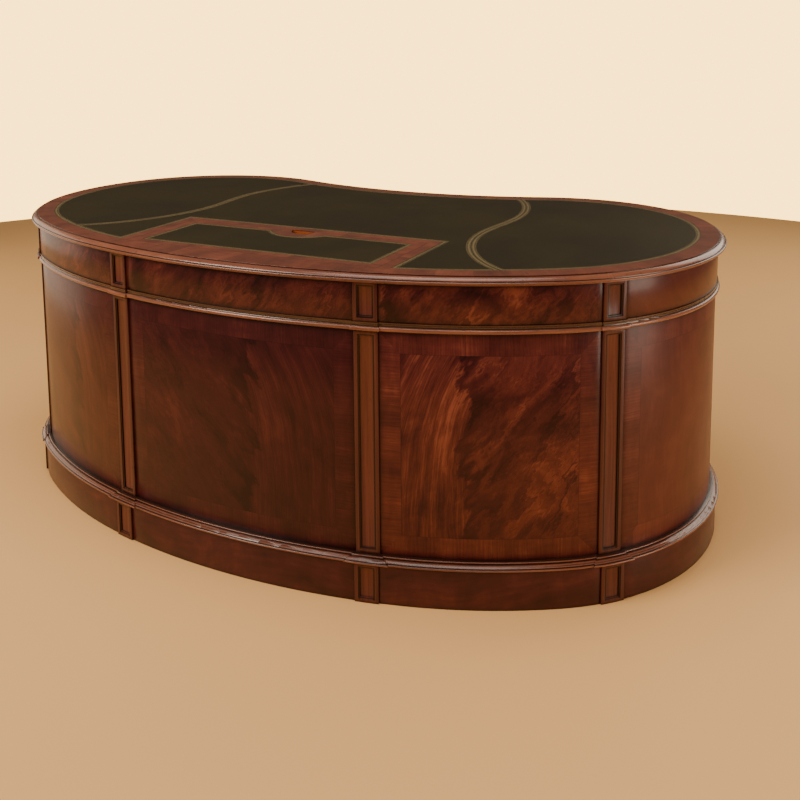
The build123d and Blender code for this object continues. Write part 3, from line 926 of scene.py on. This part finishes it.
@contextmanager
def editing(piece: Object) -> Iterator[None]:
    """Hold a piece in edit mode, all of it selected at first.

    Args:
        piece: The piece, which is in object mode again afterwards.

    Returns:
        Nothing, while the piece is in edit mode.
    """
    pick(piece)
    bpy.ops.object.mode_set(mode="EDIT")
    bpy.ops.mesh.select_all(action="SELECT")
    yield
    bpy.ops.object.mode_set(mode="OBJECT")


def corners(piece: Object) -> Iterator[tuple[MeshPolygon, int, Vector]]:
    """Go round the corners of a piece's faces.

    Args:
        piece: The piece.

    Returns:
        The face, the number and the place of each corner.
    """
    for face in piece.data.polygons:
        for corner in face.loop_indices:
            yield face, corner, piece.data.vertices[piece.data.loops[corner].vertex_index].co


@dataclass
class Piece:
    """A new piece of the desk that stands for a node of the frame or lies on one."""

    name: str
    body: str
    slot: str
    node: str
    merge: float = 0.00002

    def trace(self, replace: bool = True) -> Object:
        """Copy the node's mesh and merge its loose corners.

        Args:
            replace: Whether the piece stands for the node.

        Returns:
            The new piece.
        """
        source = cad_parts[self.node]
        made = bpy.data.objects.new(self.name, source.data.copy())
        made.data.name = self.name
        bpy.context.scene.collection.objects.link(made)
        with editing(made):
            bpy.ops.mesh.remove_doubles(threshold=self.merge)
        bpy.ops.mesh.customdata_custom_splitnormals_clear()
        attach(made, self.body)
        if replace:
            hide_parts(self.node)
        return made


def ease_edges(piece: Object, width: float, flat: float = 0.25, crease: float = 40.0) -> None:
    """Take the sharpness off a piece's edges.

    Args:
        piece: The piece.
        width: Width of the small flat along each edge.
        flat: Degrees up to which neighbouring faces count as one.
        crease: Degrees from which an edge is eased.
    """
    with editing(piece):
        bpy.ops.mesh.dissolve_limited(angle_limit=math.radians(flat))
    bevel = piece.modifiers.new("eased", "BEVEL")
    bevel.width = width
    bevel.segments = 2
    bevel.limit_method = "ANGLE"
    bevel.angle_limit = math.radians(crease)
    bevel.use_clamp_overlap = True
    bpy.ops.object.modifier_apply(modifier=bevel.name)


def smooth(piece: Object, degrees: float = 32.0) -> None:
    """Shade a piece smoothly between its creases."""
    pick(piece)
    bpy.ops.object.shade_smooth_by_angle(angle=math.radians(degrees))


def wrap(piece: Object, hollow: bool = False, lying: float = 0.35) -> tuple[Span, Span]:
    """Give a piece of the wall its veneer map: metres along the wall, and metres up it.

    Args:
        piece: The piece.
        hollow: Whether it lies across the middle of the hollow, and is measured from there.
        lying: How far the normal of a face that is mapped across the wall points up or down.

    Returns:
        Where it starts and ends along the wall, and its lowest and highest level.
    """
    layer = piece.data.uv_layers.new(name=VENEER_MAP)
    spans: list[float] = []
    rises: list[float] = []
    for face, corner, spot in corners(piece):
        if hollow:
            along, offset = PLAN.unroll_hollow(spot.x, spot.y)
        else:
            along, offset = PLAN.unroll(spot.x, spot.y, side_of(face.center.x))
        layer.data[corner].uv = (along, spot.z + (offset if abs(face.normal.z) > lying else 0.0))
        spans.append(along)
        rises.append(spot.z)
    return (min(spans), max(spans)), (min(rises), max(rises))


def wall_piece(
    kind: str, node: str, slot: str, eased: float, body: str = "carcase", hollow: bool = False
) -> tuple[Object, Span, Span]:
    """Trace one node of the wall, ease its edges and map it.

    Args:
        kind: What it is made of, the first word of its name.
        node: The node.
        slot: Its material slot, which is not used.
        eased: Width of the small flat along its edges.
        body: The body it moves with.
        hollow: Whether it lies across the middle of the hollow.

    Returns:
        The new piece, its span along the wall and its rise.
    """
    piece = Piece(f"{kind}_{node}", body, slot, node).trace()
    ease_edges(piece, eased)
    smooth(piece)
    return piece, *wrap(piece, hollow)


def paint(piece: Object, *finishes: Material) -> None:
    """Give a piece its finishes and report it.

    Args:
        piece: The piece.
        finishes: The finishes, in the order of its material slots.
    """
    piece.data.materials.clear()
    for finish in finishes:
        piece.data.materials.append(finish)
    LOG.info("piece %s", piece.name)


def paint_node(name: str, finish: Material) -> None:
    """Give a node of the frame a better finish, by its object's slots.

    Args:
        name: The node.
        finish: The finish.
    """
    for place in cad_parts[name].material_slots:
        place.material = finish
    LOG.info("node %s: %s", name, finish.name)


# ---------------------------------------------------------------- sub-assemblies


@dataclass
class Casework:
    """The curved walls, pilasters, mouldings and plinth of the carcase."""

    panel_border: float = 0.050
    eased: float = 0.0006
    upright_width: float = 0.057
    sunk_edge: float = 0.0112
    sunk_shade: float = 0.0031
    base_rise: float = 0.017
    # Depth of the painted shadow on the friezes under the top's edge moulding.
    soffit_shadow: float = 0.012
    moulding_angle: float = 38.0
    end_polish: Polish = Polish(0.40, 0.07, 0.12, 0.24, 0.24)
    front_polish: Polish = Polish(0.31, 0.07, 0.14, 0.16, 0.22)
    upright_polish: Polish = Polish(0.34, 0.08, 0.10, 0.2)
    plinth_polish: Polish = Polish(0.32, 0.08, 0.16, 0.18)
    moulding_polish: Polish = Polish(0.27, 0.06, 0.50, 0.18, 0.5)
    inner_polish: Polish = Polish(0.55, 0.1, 0.0)
    # node, tones, figure, seed, contrast of the field, lean, contrast of the border
    panel_makings: tuple = (
        ("modesty_panel", FLAME_TONES, Figure.FLAME, 2.1, (0.36, 0.92), -1.0, (0.28, 1.00)),
        ("front_panel_left", SATIN_TONES, Figure.FLAME, 31.7, (0.33, 0.81), -1.0, (0.24, 0.90)),
        ("front_panel_right", FLAME_TONES, Figure.FLAME, 14.4, (0.35, 0.65), 1.0, (0.16, 0.76)),
        ("end_panel_left", SATIN_TONES, Figure.CURL, 41.9, (0.08, 0.84), 1.0, (0.20, 0.80)),
        ("end_panel_right", SATIN_TONES, Figure.CURL, 57.3, (-0.02, 0.74), 1.0, (0.10, 0.70)),
    )
    # node, tones, contrast, seed, lean, place of the spine
    frieze_makings: tuple = (
        ("frieze_front_centre", FLAME_TONES, (0.39, 0.69), 3.3, 1.0, -0.30),
        ("frieze_front_left", FLAME_TONES, (0.36, 0.64), 22.8, 1.0, -0.16),
        ("frieze_front_right", FLAME_TONES, (0.35, 0.63), 9.6, 1.0, -0.22),
        ("frieze_end_left", SATIN_TONES, (0.30, 0.86), 34.2, 1.0, -0.20),
        ("frieze_end_right", SATIN_TONES, (0.06, 0.78), 47.7, -1.0, -0.20),
    )
    # node, then the level above its foot, half width and strength of each dark band of old wax and painted
    # shade
    hollows: tuple = (
        ("top_edge_moulding", (0.0085, 0.0014, 0.88), (0.0178, 0.0011, 0.82)),
        ("waist_moulding", (0.0126, 0.0024, 0.86), (0.0180, 0.0075, 0.70), (0.0008, 0.0022, 0.80)),
        (
            "base_moulding",
            (0.0056, 0.0014, 0.88),
            (0.0088, 0.0009, 0.65),
            (0.0117, 0.0012, 0.84),
            (0.0166, 0.0013, 0.85),
            (0.0003, 0.0008, 0.60),
        ),
    )

    def panels(self) -> None:
        """Make the figured panels of the pedestals and of the front."""
        for node, tones, figure, seed, contrast, lean, banding in self.panel_makings:
            piece, span, rise = wall_piece("veneer", node, "panel_veneer", self.eased)
            polish = self.end_polish if node.startswith("end") else self.front_polish
            field_wood = Wood(tones, figure, polish, contrast, 0.0, seed, lean)
            border_wood = Wood(tones, Figure.CROSSED, polish, banding, 0.0, seed + 3.0)
            finish = PanelFinish(field_wood, border_wood, self.panel_border)
            paint(piece, finish.material("veneer_" + node, span, (rise[0] + self.base_rise, rise[1])))

    def friezes(self) -> None:
        """Make the frieze boards above the panels."""
        for node, tones, contrast, seed, lean, spine in self.frieze_makings:
            piece, span, rise = wall_piece("veneer", node, "frieze_veneer", self.eased)
            wood = Wood(tones, Figure.FLAME, self.front_polish, contrast, 0.0, seed, lean, spine)
            finish = PanelFinish(wood, wood, 0.0, soffit_shadow=self.soffit_shadow)
            paint(piece, finish.material("veneer_" + node, span, rise))

    def uprights(self) -> None:
        """Make the pilasters, whose sunk fields are glazed dark and painted with shade round their edges, and
        the plinth.
        """
        wood = Wood(SOLID_TONES, Figure.STRAIGHT, self.upright_polish, (0.22, 0.84), 0.0, 5.1)
        sunk = {"bead": self.sunk_edge, "bead_half": self.sunk_shade, "numbered": True}
        finish = PanelFinish(wood, wood, 0.0, shade_and_wear=ShadeAndWear(0.008, 0.6), **sunk)
        for node in ("frieze_pilasters", "panel_pilasters", "plinth_pilasters"):
            piece, _, rise = wall_piece("solid", node, "mahogany", self.eased)
            self._number_uprights(piece)
            low = rise[0] + (self.base_rise if node == "panel_pilasters" else 0.0)
            paint(piece, finish.material("mahogany_" + node, (0.0, self.upright_width), (low, rise[1])))
        lying = Wood(FLAME_TONES, Figure.CURL, self.plinth_polish, (0.34, 0.96), 3.0, 15.1)
        plinth = run_finish("mahogany_plinth", lying, ShadeAndWear())
        for node in ("plinth_front", "plinth_ends", "plinth_returns"):
            paint(wall_piece("solid", node, "mahogany", self.eased)[0], plinth)

    def _number_uprights(self, piece: Object) -> None:
        """Map each pilaster from its own left edge, a whole number apart from the next.

        Args:
            piece: The pilasters of one level, already mapped along the wall.
        """
        layer = piece.data.uv_layers[VENEER_MAP]
        places = sorted({round(loop.uv.x, 4) for loop in layer.data})
        apart, near = self.upright_width * 1.5, 0.001
        starts = [places[0]] + [after for before, after in zip(places, places[1:]) if after - before > apart]
        for loop in layer.data:
            number = sum(loop.uv.x > start - near for start in starts) - 1
            loop.uv.x += number - starts[number]

    def mouldings(self) -> None:
        """Make the edge, waist and base mouldings."""
        edge_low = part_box("top_edge_moulding")[0].z
        waist_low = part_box("waist_moulding")[0].z
        base_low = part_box("base_moulding")[0].z
        for number, (low, (node, *lines)) in enumerate(zip((edge_low, waist_low, base_low), self.hollows)):
            shade_and_glaze_lines = [ShadeAndGlaze(low + level, half, strength) for level, half, strength in lines]
            seed = 61.0 + number * 7
            wood = Wood(RUN_TONES, Figure.STRAIGHT, self.moulding_polish, (0.28, 0.74), 0.0, seed)
            piece = Piece("run_" + node, "carcase", "mahogany", node).trace()
            smooth(piece, self.moulding_angle)
            wrap(piece)
            paint(piece, run_finish("mahogany_" + node, wood, ShadeAndWear(0.006, 0.5, 0.002, 0.4), shade_and_glaze_lines))

    def inner_boards(self) -> None:
        """Dress the boards that show in the kneehole and behind the drawers."""
        upright = Wood(SOLID_TONES, Figure.CURL, Polish(), (0.32, 0.70), 0.0, 71.0)
        level = Wood(SOLID_TONES, Figure.STRAIGHT, Polish(), (0.32, 0.70), 0.0, 73.0)
        plain = Wood(LINING_TONES, Figure.STRAIGHT, self.inner_polish, (0.30, 0.72), 0.0, 77.0)
        for name, wood, axes, nodes in (
            ("mahogany_upright", upright, "zy", ("kneehole_side_left", "kneehole_side_right")),
            ("mahogany_level", level, "xy", ("section_floor", "drawer_rails")),
            ("inner_wood", plain, "yx", ("pedestal_floors", "drawer_guides", "frieze_partitions")),
        ):
            finish = board_finish(name, wood, axes)
            for node in nodes:
                paint_node(node, finish)

    def build(self) -> None:
        """Build the casework."""
        for step in (self.panels, self.friezes, self.uprights, self.mouldings, self.inner_boards):
            step()


class Mark(Enum):
    """What one ring of the tooling is."""

    GAP = "bare hide between the rings"
    LINE = "a fine dotted line"
    ROLL = "a roll of beads and waves"


@dataclass
class Tooling:
    """The gold lines and the roll round each section of the leather, ring by ring from its edge inwards."""

    rings: tuple[tuple[float, Mark], ...] = (
        (0.0012, Mark.GAP),
        (0.0010, Mark.LINE),
        (0.0009, Mark.GAP),
        (0.0048, Mark.ROLL),
        (0.0009, Mark.GAP),
        (0.0008, Mark.LINE),
        (0.0014, Mark.GAP),
        (0.0013, Mark.LINE),
    )
    lift: float = 0.00012
    lying: float = 0.9
    skin: float = 0.0002
    pitch: float = 0.0052
    dot: float = 0.0026

    def lay(self, node: str, body: str, line: Material, roll: Material) -> None:
        """Lay the tooling on one section.

        Args:
            node: The leather.
            body: The body it moves with.
            line: Finish of the plain lines.
            roll: Finish of the roll.
        """
        piece = Piece("tooling_" + node, body, "leather", node).trace(replace=False)
        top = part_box(node)[1].z

        def hidden(face: BMFace) -> bool:
            """Whether a face isn't on the upper side of the leather."""
            return face.normal.z <= self.lying or face.calc_center_median().z <= top - self.skin

        with editing(piece):
            pick_faces(piece, hidden)
            bpy.ops.mesh.delete(type="FACE")
            bpy.ops.mesh.select_all(action="SELECT")
            bpy.ops.mesh.dissolve_faces()
            bpy.ops.transform.translate(value=(0.0, 0.0, self.lift))
            for width, _ in self.rings:
                pick_faces(piece, lambda face: len(face.verts) > 4)
                bpy.ops.mesh.inset(thickness=width, depth=0.0, use_boundary=True, use_even_offset=True)
        self._map_rings(piece)
        paint(piece, line, roll)

    def _outer_edge(self, shape: BMesh) -> list[BMVert]:
        """Go once round the outer edge of the rings.

        Args:
            shape: The rings.

        Returns:
            The corners of their outer edge, in order.
        """
        edge = next(each for each in shape.edges if each.is_boundary)
        order, vert = [edge.verts[0]], edge.verts[1]
        while vert is not order[0]:
            order.append(vert)
            edge = next(each for each in vert.link_edges if each.is_boundary and each is not edge)
            vert = edge.other_vert(vert)
        return order

    def _map_rings(self, piece: Object) -> None:
        """Map each ring along its length, drop the gaps between rings and mark the roll.

        Args:
            piece: The rings of one section.
        """
        shape = bmesh.new()
        shape.from_mesh(piece.data)
        layer = shape.loops.layers.uv.new(VENEER_MAP)
        order = self._outer_edge(shape)
        along = {order[0]: 0.0}
        for before, after in zip(order, order[1:]):
            along[after] = along[before] + (after.co - before.co).length
        total = along[order[-1]] + (order[-1].co - order[0].co).length
        rank = {vert: 0 for vert in order}
        current = order
        for level in range(1, len(self.rings) + 1):
            following = []
            for vert in current:
                for edge in vert.link_edges:
                    other = edge.other_vert(vert)
                    if other not in rank:
                        rank[other] = level
                        along[other] = along[vert]
                        following.append(other)
            current = following
        drop = []
        for face in shape.faces:
            ranks = [rank.get(vert, len(rank)) for vert in face.verts]
            if len(face.verts) != 4 or min(ranks) == max(ranks) or self.rings[min(ranks)][1] is Mark.GAP:
                drop.append(face)
                continue
            width, mark = self.rings[min(ranks)]
            face.material_index = int(mark is Mark.ROLL)
            places = [along[vert] for vert in face.verts]
            wraps = max(places) - min(places) > total / 2
            for corner in face.loops:
                place = along[corner.vert]
                if wraps and place < total / 2:
                    place += total
                corner[layer].uv = (place, width * (rank[corner.vert] - min(ranks)))
        bmesh.ops.delete(shape, geom=drop, context="FACES")
        shape.to_mesh(piece.data)
        shape.free()


class Run(Enum):
    """Which way a strip of crossbanding runs."""

    RING = "round the edge of the top"
    SIDE = "from front to back"
    BACK = "from left to right"


@dataclass
class WritingTop:
    """The leather top: hides, tooling, crossbanding and the writing lid."""

    opening_half: float = 0.360
    opening_set_back: float = 0.0805
    opening_depth: float = 0.278
    frame_width: float = 0.028
    side_band: float = 0.029
    front_band: float = 0.027
    lid_gap: float = 0.0006
    band_polish: Polish = Polish(0.36, 0.08, 0.10, 0.18, 0.32)
    cut_step: float = 0.06
    lying: float = 0.5
    skin: float = 0.0003
    side_apart: float = 3.0
    back_apart: float = 6.0

    @property
    def opening_front(self) -> float:
        """Y of the front edge of the opening."""
        return PLAN.front_y + self.opening_set_back

    @property
    def opening_back(self) -> float:
        """Y of the back edge of the opening."""
        return self.opening_front + self.opening_depth

    def _cut(self, piece: Object, cuts: Sequence[tuple[Vector, Vector]]) -> None:
        """Cut the faces of a piece along upright planes.

        Args:
            piece: The piece.
            cuts: A point and a direction across each plane.
        """
        with editing(piece):
            for spot, across in cuts:
                bpy.ops.mesh.select_all(action="SELECT")
                bpy.ops.mesh.bisect(plane_co=spot, plane_no=across)

    def _map(self, piece: Object, strip: Callable[[Vector], Run], top: float) -> None:
        """Map each strip of crossbanding along its own length.

        Args:
            piece: The piece.
            strip: Names the strip that a point of the plan is on.
            top: Level of the face that is banded.
        """
        layer = piece.data.uv_layers.new(name=VENEER_MAP)
        for face, corner, spot in corners(piece):
            run, side = strip(face.center), side_of(face.center.x)
            banded = face.normal.z > self.lying and face.center.z > top - self.skin
            face.material_index = 0 if banded else 1
            if run is Run.SIDE:
                along, across = spot.y + self.side_apart * side, spot.x
            elif run is Run.BACK:
                along, across = spot.x + self.back_apart, spot.y
            else:
                along, across = PLAN.unroll(spot.x, spot.y, side)
            layer.data[corner].uv = (along, across + (0.0 if banded else spot.z))

    def crossband(self) -> None:
        """Make the crossband border and the fixed frame round the lid."""
        piece = Piece("banding_top", "carcase", "crossband", "top_crossband").trace()
        half, wide = self.opening_half, self.opening_half + self.frame_width
        back, far = self.opening_back, self.opening_back + self.frame_width
        cuts = [(Vector((x, 0, 0)), Vector((1, 0, 0))) for x in (-wide, wide, -half, half)]
        cuts += [(Vector((0, y, 0)), Vector((0, 1, 0))) for y in (self.opening_front, back, far)]
        cuts += [(Vector((side * half, back, 0)), Vector((1, -side, 0))) for side in (-1, 1)]
        cuts += [(Vector((self.cut_step * step, 0, 0)), Vector((1, 0, 0))) for step in range(-7, 8)]
        self._cut(piece, cuts)

        def strip(spot: Vector) -> Run:
            """Tell the strip at a point of the plan.

            Args:
                spot: The point.

            Returns:
                Which way the strip runs.
            """
            if abs(spot.x) > wide or not self.opening_front < spot.y < far:
                return Run.RING
            return Run.BACK if spot.y - back > abs(spot.x) - half else Run.SIDE

        self._map(piece, strip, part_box("top_crossband")[1].z)
        band = Wood(BAND_TONES, Figure.CROSSED, self.band_polish, (0.28, 0.74), 0.0, 81.0)
        edge = Wood(BAND_TONES, Figure.STRAIGHT, Polish(), (0.24, 0.80), 0.0, 83.0)
        edge_finish = run_finish("mahogany_band_edge", edge)
        paint(piece, crossband_finish("crossband_top", band), edge_finish)

    def lid(self) -> None:
        """Make the lid's board with its mitred crossbanding."""
        piece = Piece("banding_lid", "lid", "crossband", "lid_board").trace()
        half = self.opening_half - self.lid_gap
        front, back = self.opening_front + self.lid_gap, self.opening_back - self.lid_gap
        cuts = []
        for side, y, sense in ((-1, front, 1), (-1, back, -1), (1, front, 1), (1, back, -1)):
            across = Vector((sense * self.front_band, side * self.side_band, 0))
            cuts.append((Vector((side * half, y, 0)), across.normalized()))
        self._cut(piece, cuts)

        def strip(spot: Vector) -> Run:
            """Tell the strip at a point of the plan.

            Args:
                spot: The point.

            Returns:
                Which way the strip runs.
            """
            to_side = (half - abs(spot.x)) / self.side_band
            to_front = min(spot.y - front, back - spot.y) / self.front_band
            return Run.SIDE if to_side < min(to_front, 1.0) else Run.BACK

        self._map(piece, strip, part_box("lid_board")[1].z)
        band = Wood(BAND_TONES, Figure.CROSSED, self.band_polish, (0.28, 0.74), 0.0, 87.0)
        bare = Wood(NOTCH_TONES, Figure.STRAIGHT, Polish(0.35), (0.30, 0.70), 0.0, 89.0)
        solid = board_finish("notch_wood", bare, "xy")
        paint(piece, crossband_finish("crossband_lid", band), solid)
        for node in ("compartment_sides", "compartment_floor", "top_board"):
            paint_node(node, solid)

    def hides(self) -> None:
        """Dress the leathers and lay their tooling."""
        tooling = Tooling()
        line = Gilding().material("gilt_line", tooling.dot)
        roll_width = next(width for width, mark in tooling.rings if mark is Mark.ROLL)
        roll = Gilding().material("gilt_roll", tooling.pitch, roll_width)
        for number, node in enumerate(("leather_left", "leather_centre", "leather_right", "lid_leather")):
            paint_node(node, Hide(seed=number * 13.0).material("hide_" + node))
            tooling.lay(node, "lid" if node == "lid_leather" else "carcase", line, roll)

    def build(self) -> None:
        """Build the top."""
        self.hides()
        self.crossband()
        self.lid()
        brass = Brass().material("hinge_brass")
        for node in ("lid_hinge_barrels_fixed", "lid_hinge_barrels_moving"):
            paint_node(node, brass)


@dataclass
class Drawers:
    """The seven drawers of the sitter side."""

    names: tuple[str, ...] = (
        "frieze_drawer_left",
        "frieze_drawer_right",
        "upper_drawer_left",
        "upper_drawer_right",
        "lower_drawer_left",
        "lower_drawer_right",
        "centre_drawer",
    )
    border: float = 0.022
    bead: float = 0.004
    eased: float = 0.0005
    face_depth: float = 0.0022
    front_polish: Polish = Polish(0.26, 0.08)
    box_polish: Polish = Polish(0.5, 0.1, 0.05)

    def build(self) -> None:
        """Build each drawer's front and dress its box and knobs."""
        brass = Brass().material("knob_brass")
        pale = Wood(LINING_TONES, Figure.STRAIGHT, self.box_polish, (0.30, 0.72), 0.0, 91.0)
        lining = board_finish("drawer_lining", pale, "yz")
        for number, name in enumerate(self.names):
            hollow, node, tilt = name == "centre_drawer", name + "_front", 8.0 * (number % 3 - 1)
            piece, _, rise = wall_piece("veneer", node, "frieze_veneer", self.eased, name, hollow)
            wood = Wood(FLAME_TONES, Figure.CURL, self.front_polish, (0.33, 0.70), tilt, 101.0 + number * 5)
            band = Wood(SOLID_TONES, Figure.CROSSED, Polish(), (0.34, 0.70), 0.0, 103.0 + number * 5)
            finish = PanelFinish(wood, band, self.border, bead=self.bead)
            paint(piece, finish.material("veneer_" + node, self._front_span(piece, hollow), rise))
            paint_node(name + "_box", lining)
            paint_node(name + "_knobs", brass)

    def _front_span(self, piece: Object, hollow: bool) -> tuple[float, float]:
        """Find where the face of a drawer front starts and ends along the wall.

        Args:
            piece: The drawer front.
            hollow: Whether it lies across the middle of the hollow.

        Returns:
            Its least and greatest distance along the wall.
        """
        found = []
        for vert in piece.data.vertices:
            x, y, _ = vert.co
            along, offset = PLAN.unroll_hollow(x, y) if hollow else PLAN.unroll(x, y, side_of(x))
            if offset > -self.face_depth:
                found.append(along)
        return min(found), max(found)


@dataclass(frozen=True)
class Lamp:
    """One soft, square area light that looks at the desk."""

    name: str
    spot: tuple[float, float, float]
    size: float
    power: float
    colour: Colour


@dataclass
class Studio:
    """The floor, the light and the camera."""

    floor_radius: float = 4.6
    floor_tones: tuple[Colour, Colour] = ((0.97, 0.555, 0.210), (1.0, 0.59, 0.235))
    lamps: tuple[Lamp, ...] = (
        Lamp("key_light", (-2.0, -3.1, 3.0), 2.0, 112.0, (1.0, 0.88, 0.74)),
        Lamp("right_light", (3.5, -0.4, 0.9), 1.3, 35.0, (1.0, 0.84, 0.67)),
        Lamp("left_light", (-3.7, 0.1, 0.90), 2.4, 27.0, (1.0, 0.80, 0.60)),
        Lamp("top_light", (0.3, -0.9, 3.8), 2.4, 66.0, (1.0, 0.90, 0.80)),
        Lamp("back_light", (2.0, 3.2, 2.3), 2.4, 44.0, (1.0, 0.88, 0.74)),
    )
    lamp_target: tuple[float, float, float] = (0.0, 0.0, 0.45)
    picture: float = 800.0
    sensor: float = 36.0
    focal_pixels: float = 1020.89
    azimuth: float = 25.87
    elevation: float = 7.41
    roll: float = -0.43
    target: tuple[float, float, float] = (0.02546, 0.89058, 0.92787)
    distance: float = 3.14473
    axis_row: float = 150.0
    surround: Colour = (0.200, 0.160, 0.120)
    backdrop: Colour = (5.9, 3.50, 0.95)

    def floor(self) -> None:
        """Lay a plain pale floor."""
        bpy.ops.mesh.primitive_circle_add(vertices=128, radius=self.floor_radius, fill_type="NGON")
        floor = bpy.context.active_object
        floor.name = "studio_floor"
        bench = Bench("pale_floor")
        x, y, _ = bench.place()
        colour = bench.blend(bench.noise((x * 1.3, y * 1.3, 2.0), 3.0), *self.floor_tones)
        paint(floor, bench.finish({"Base Color": colour, "Roughness": 0.55, "Specular IOR Level": 0.25}))

    def hang(self, lamp: Lamp) -> None:
        """Hang one light.

        Args:
            lamp: The light.
        """
        light = bpy.data.lights.new(lamp.name, "AREA")
        light.shape = "SQUARE"
        light.size, light.energy, light.color = lamp.size, lamp.power, lamp.colour
        made = bpy.data.objects.new(lamp.name, light)
        bpy.context.scene.collection.objects.link(made)
        made.location = lamp.spot
        sight = Vector(self.lamp_target) - Vector(lamp.spot)
        made.rotation_euler = sight.to_track_quat("-Z", "Y").to_euler()

    def sky(self) -> None:
        """Surround the desk with a dim warm white, which the camera sees as a bright one."""
        world = bpy.data.worlds.new("plain_surround")
        bpy.context.scene.world = world
        bench = Bench("surround", world)
        seen = bench.node("ShaderNodeLightPath", output="Is Camera Ray")
        colour = bench.blend(seen, self.surround, self.backdrop)
        glow = bench.node("ShaderNodeBackground", None, {"Color": colour, "Strength": 1.0})
        bench.show(glow, "ShaderNodeOutputWorld")

    def camera(self) -> None:
        """Set the camera at the photograph's angle."""
        azimuth, elevation, roll = (math.radians(a) for a in (self.azimuth, self.elevation, self.roll))
        level = math.cos(elevation)
        back = Vector((math.sin(azimuth) * level, -math.cos(azimuth) * level, math.sin(elevation)))
        right = Vector((math.cos(azimuth), math.sin(azimuth), 0.0))
        up = right.cross(-back)
        turned = right * math.cos(roll) + up * math.sin(roll)
        risen = up * math.cos(roll) - right * math.sin(roll)
        spot = Vector(self.target) + Vector((0.0, PLAN.front_y, 0.0)) + back * self.distance
        data = bpy.data.cameras.new("camera")
        data.lens = self.focal_pixels / self.picture * self.sensor
        data.sensor_width = self.sensor
        data.shift_y = self.axis_row / self.picture - 0.5
        camera = bpy.data.objects.new("camera", data)
        bpy.context.scene.collection.objects.link(camera)
        turn = Matrix((turned, risen, back)).transposed()
        camera.matrix_world = Matrix.Translation(spot) @ turn.to_4x4()
        bpy.context.scene.camera = camera

    def build(self) -> None:
        """Set the studio up."""
        self.floor()
        self.sky()
        for lamp in self.lamps:
            self.hang(lamp)
        self.camera()
        LOG.info("studio ready")


def main() -> None:
    """Build the desk's looks in order and report each piece."""
    logging.basicConfig(level=logging.INFO, format="%(name)s: %(message)s")
    Casework().build()
    WritingTop().build()
    Drawers().build()
    Studio().build()
    clear_selection()


if __name__ == "__main__":
    main()
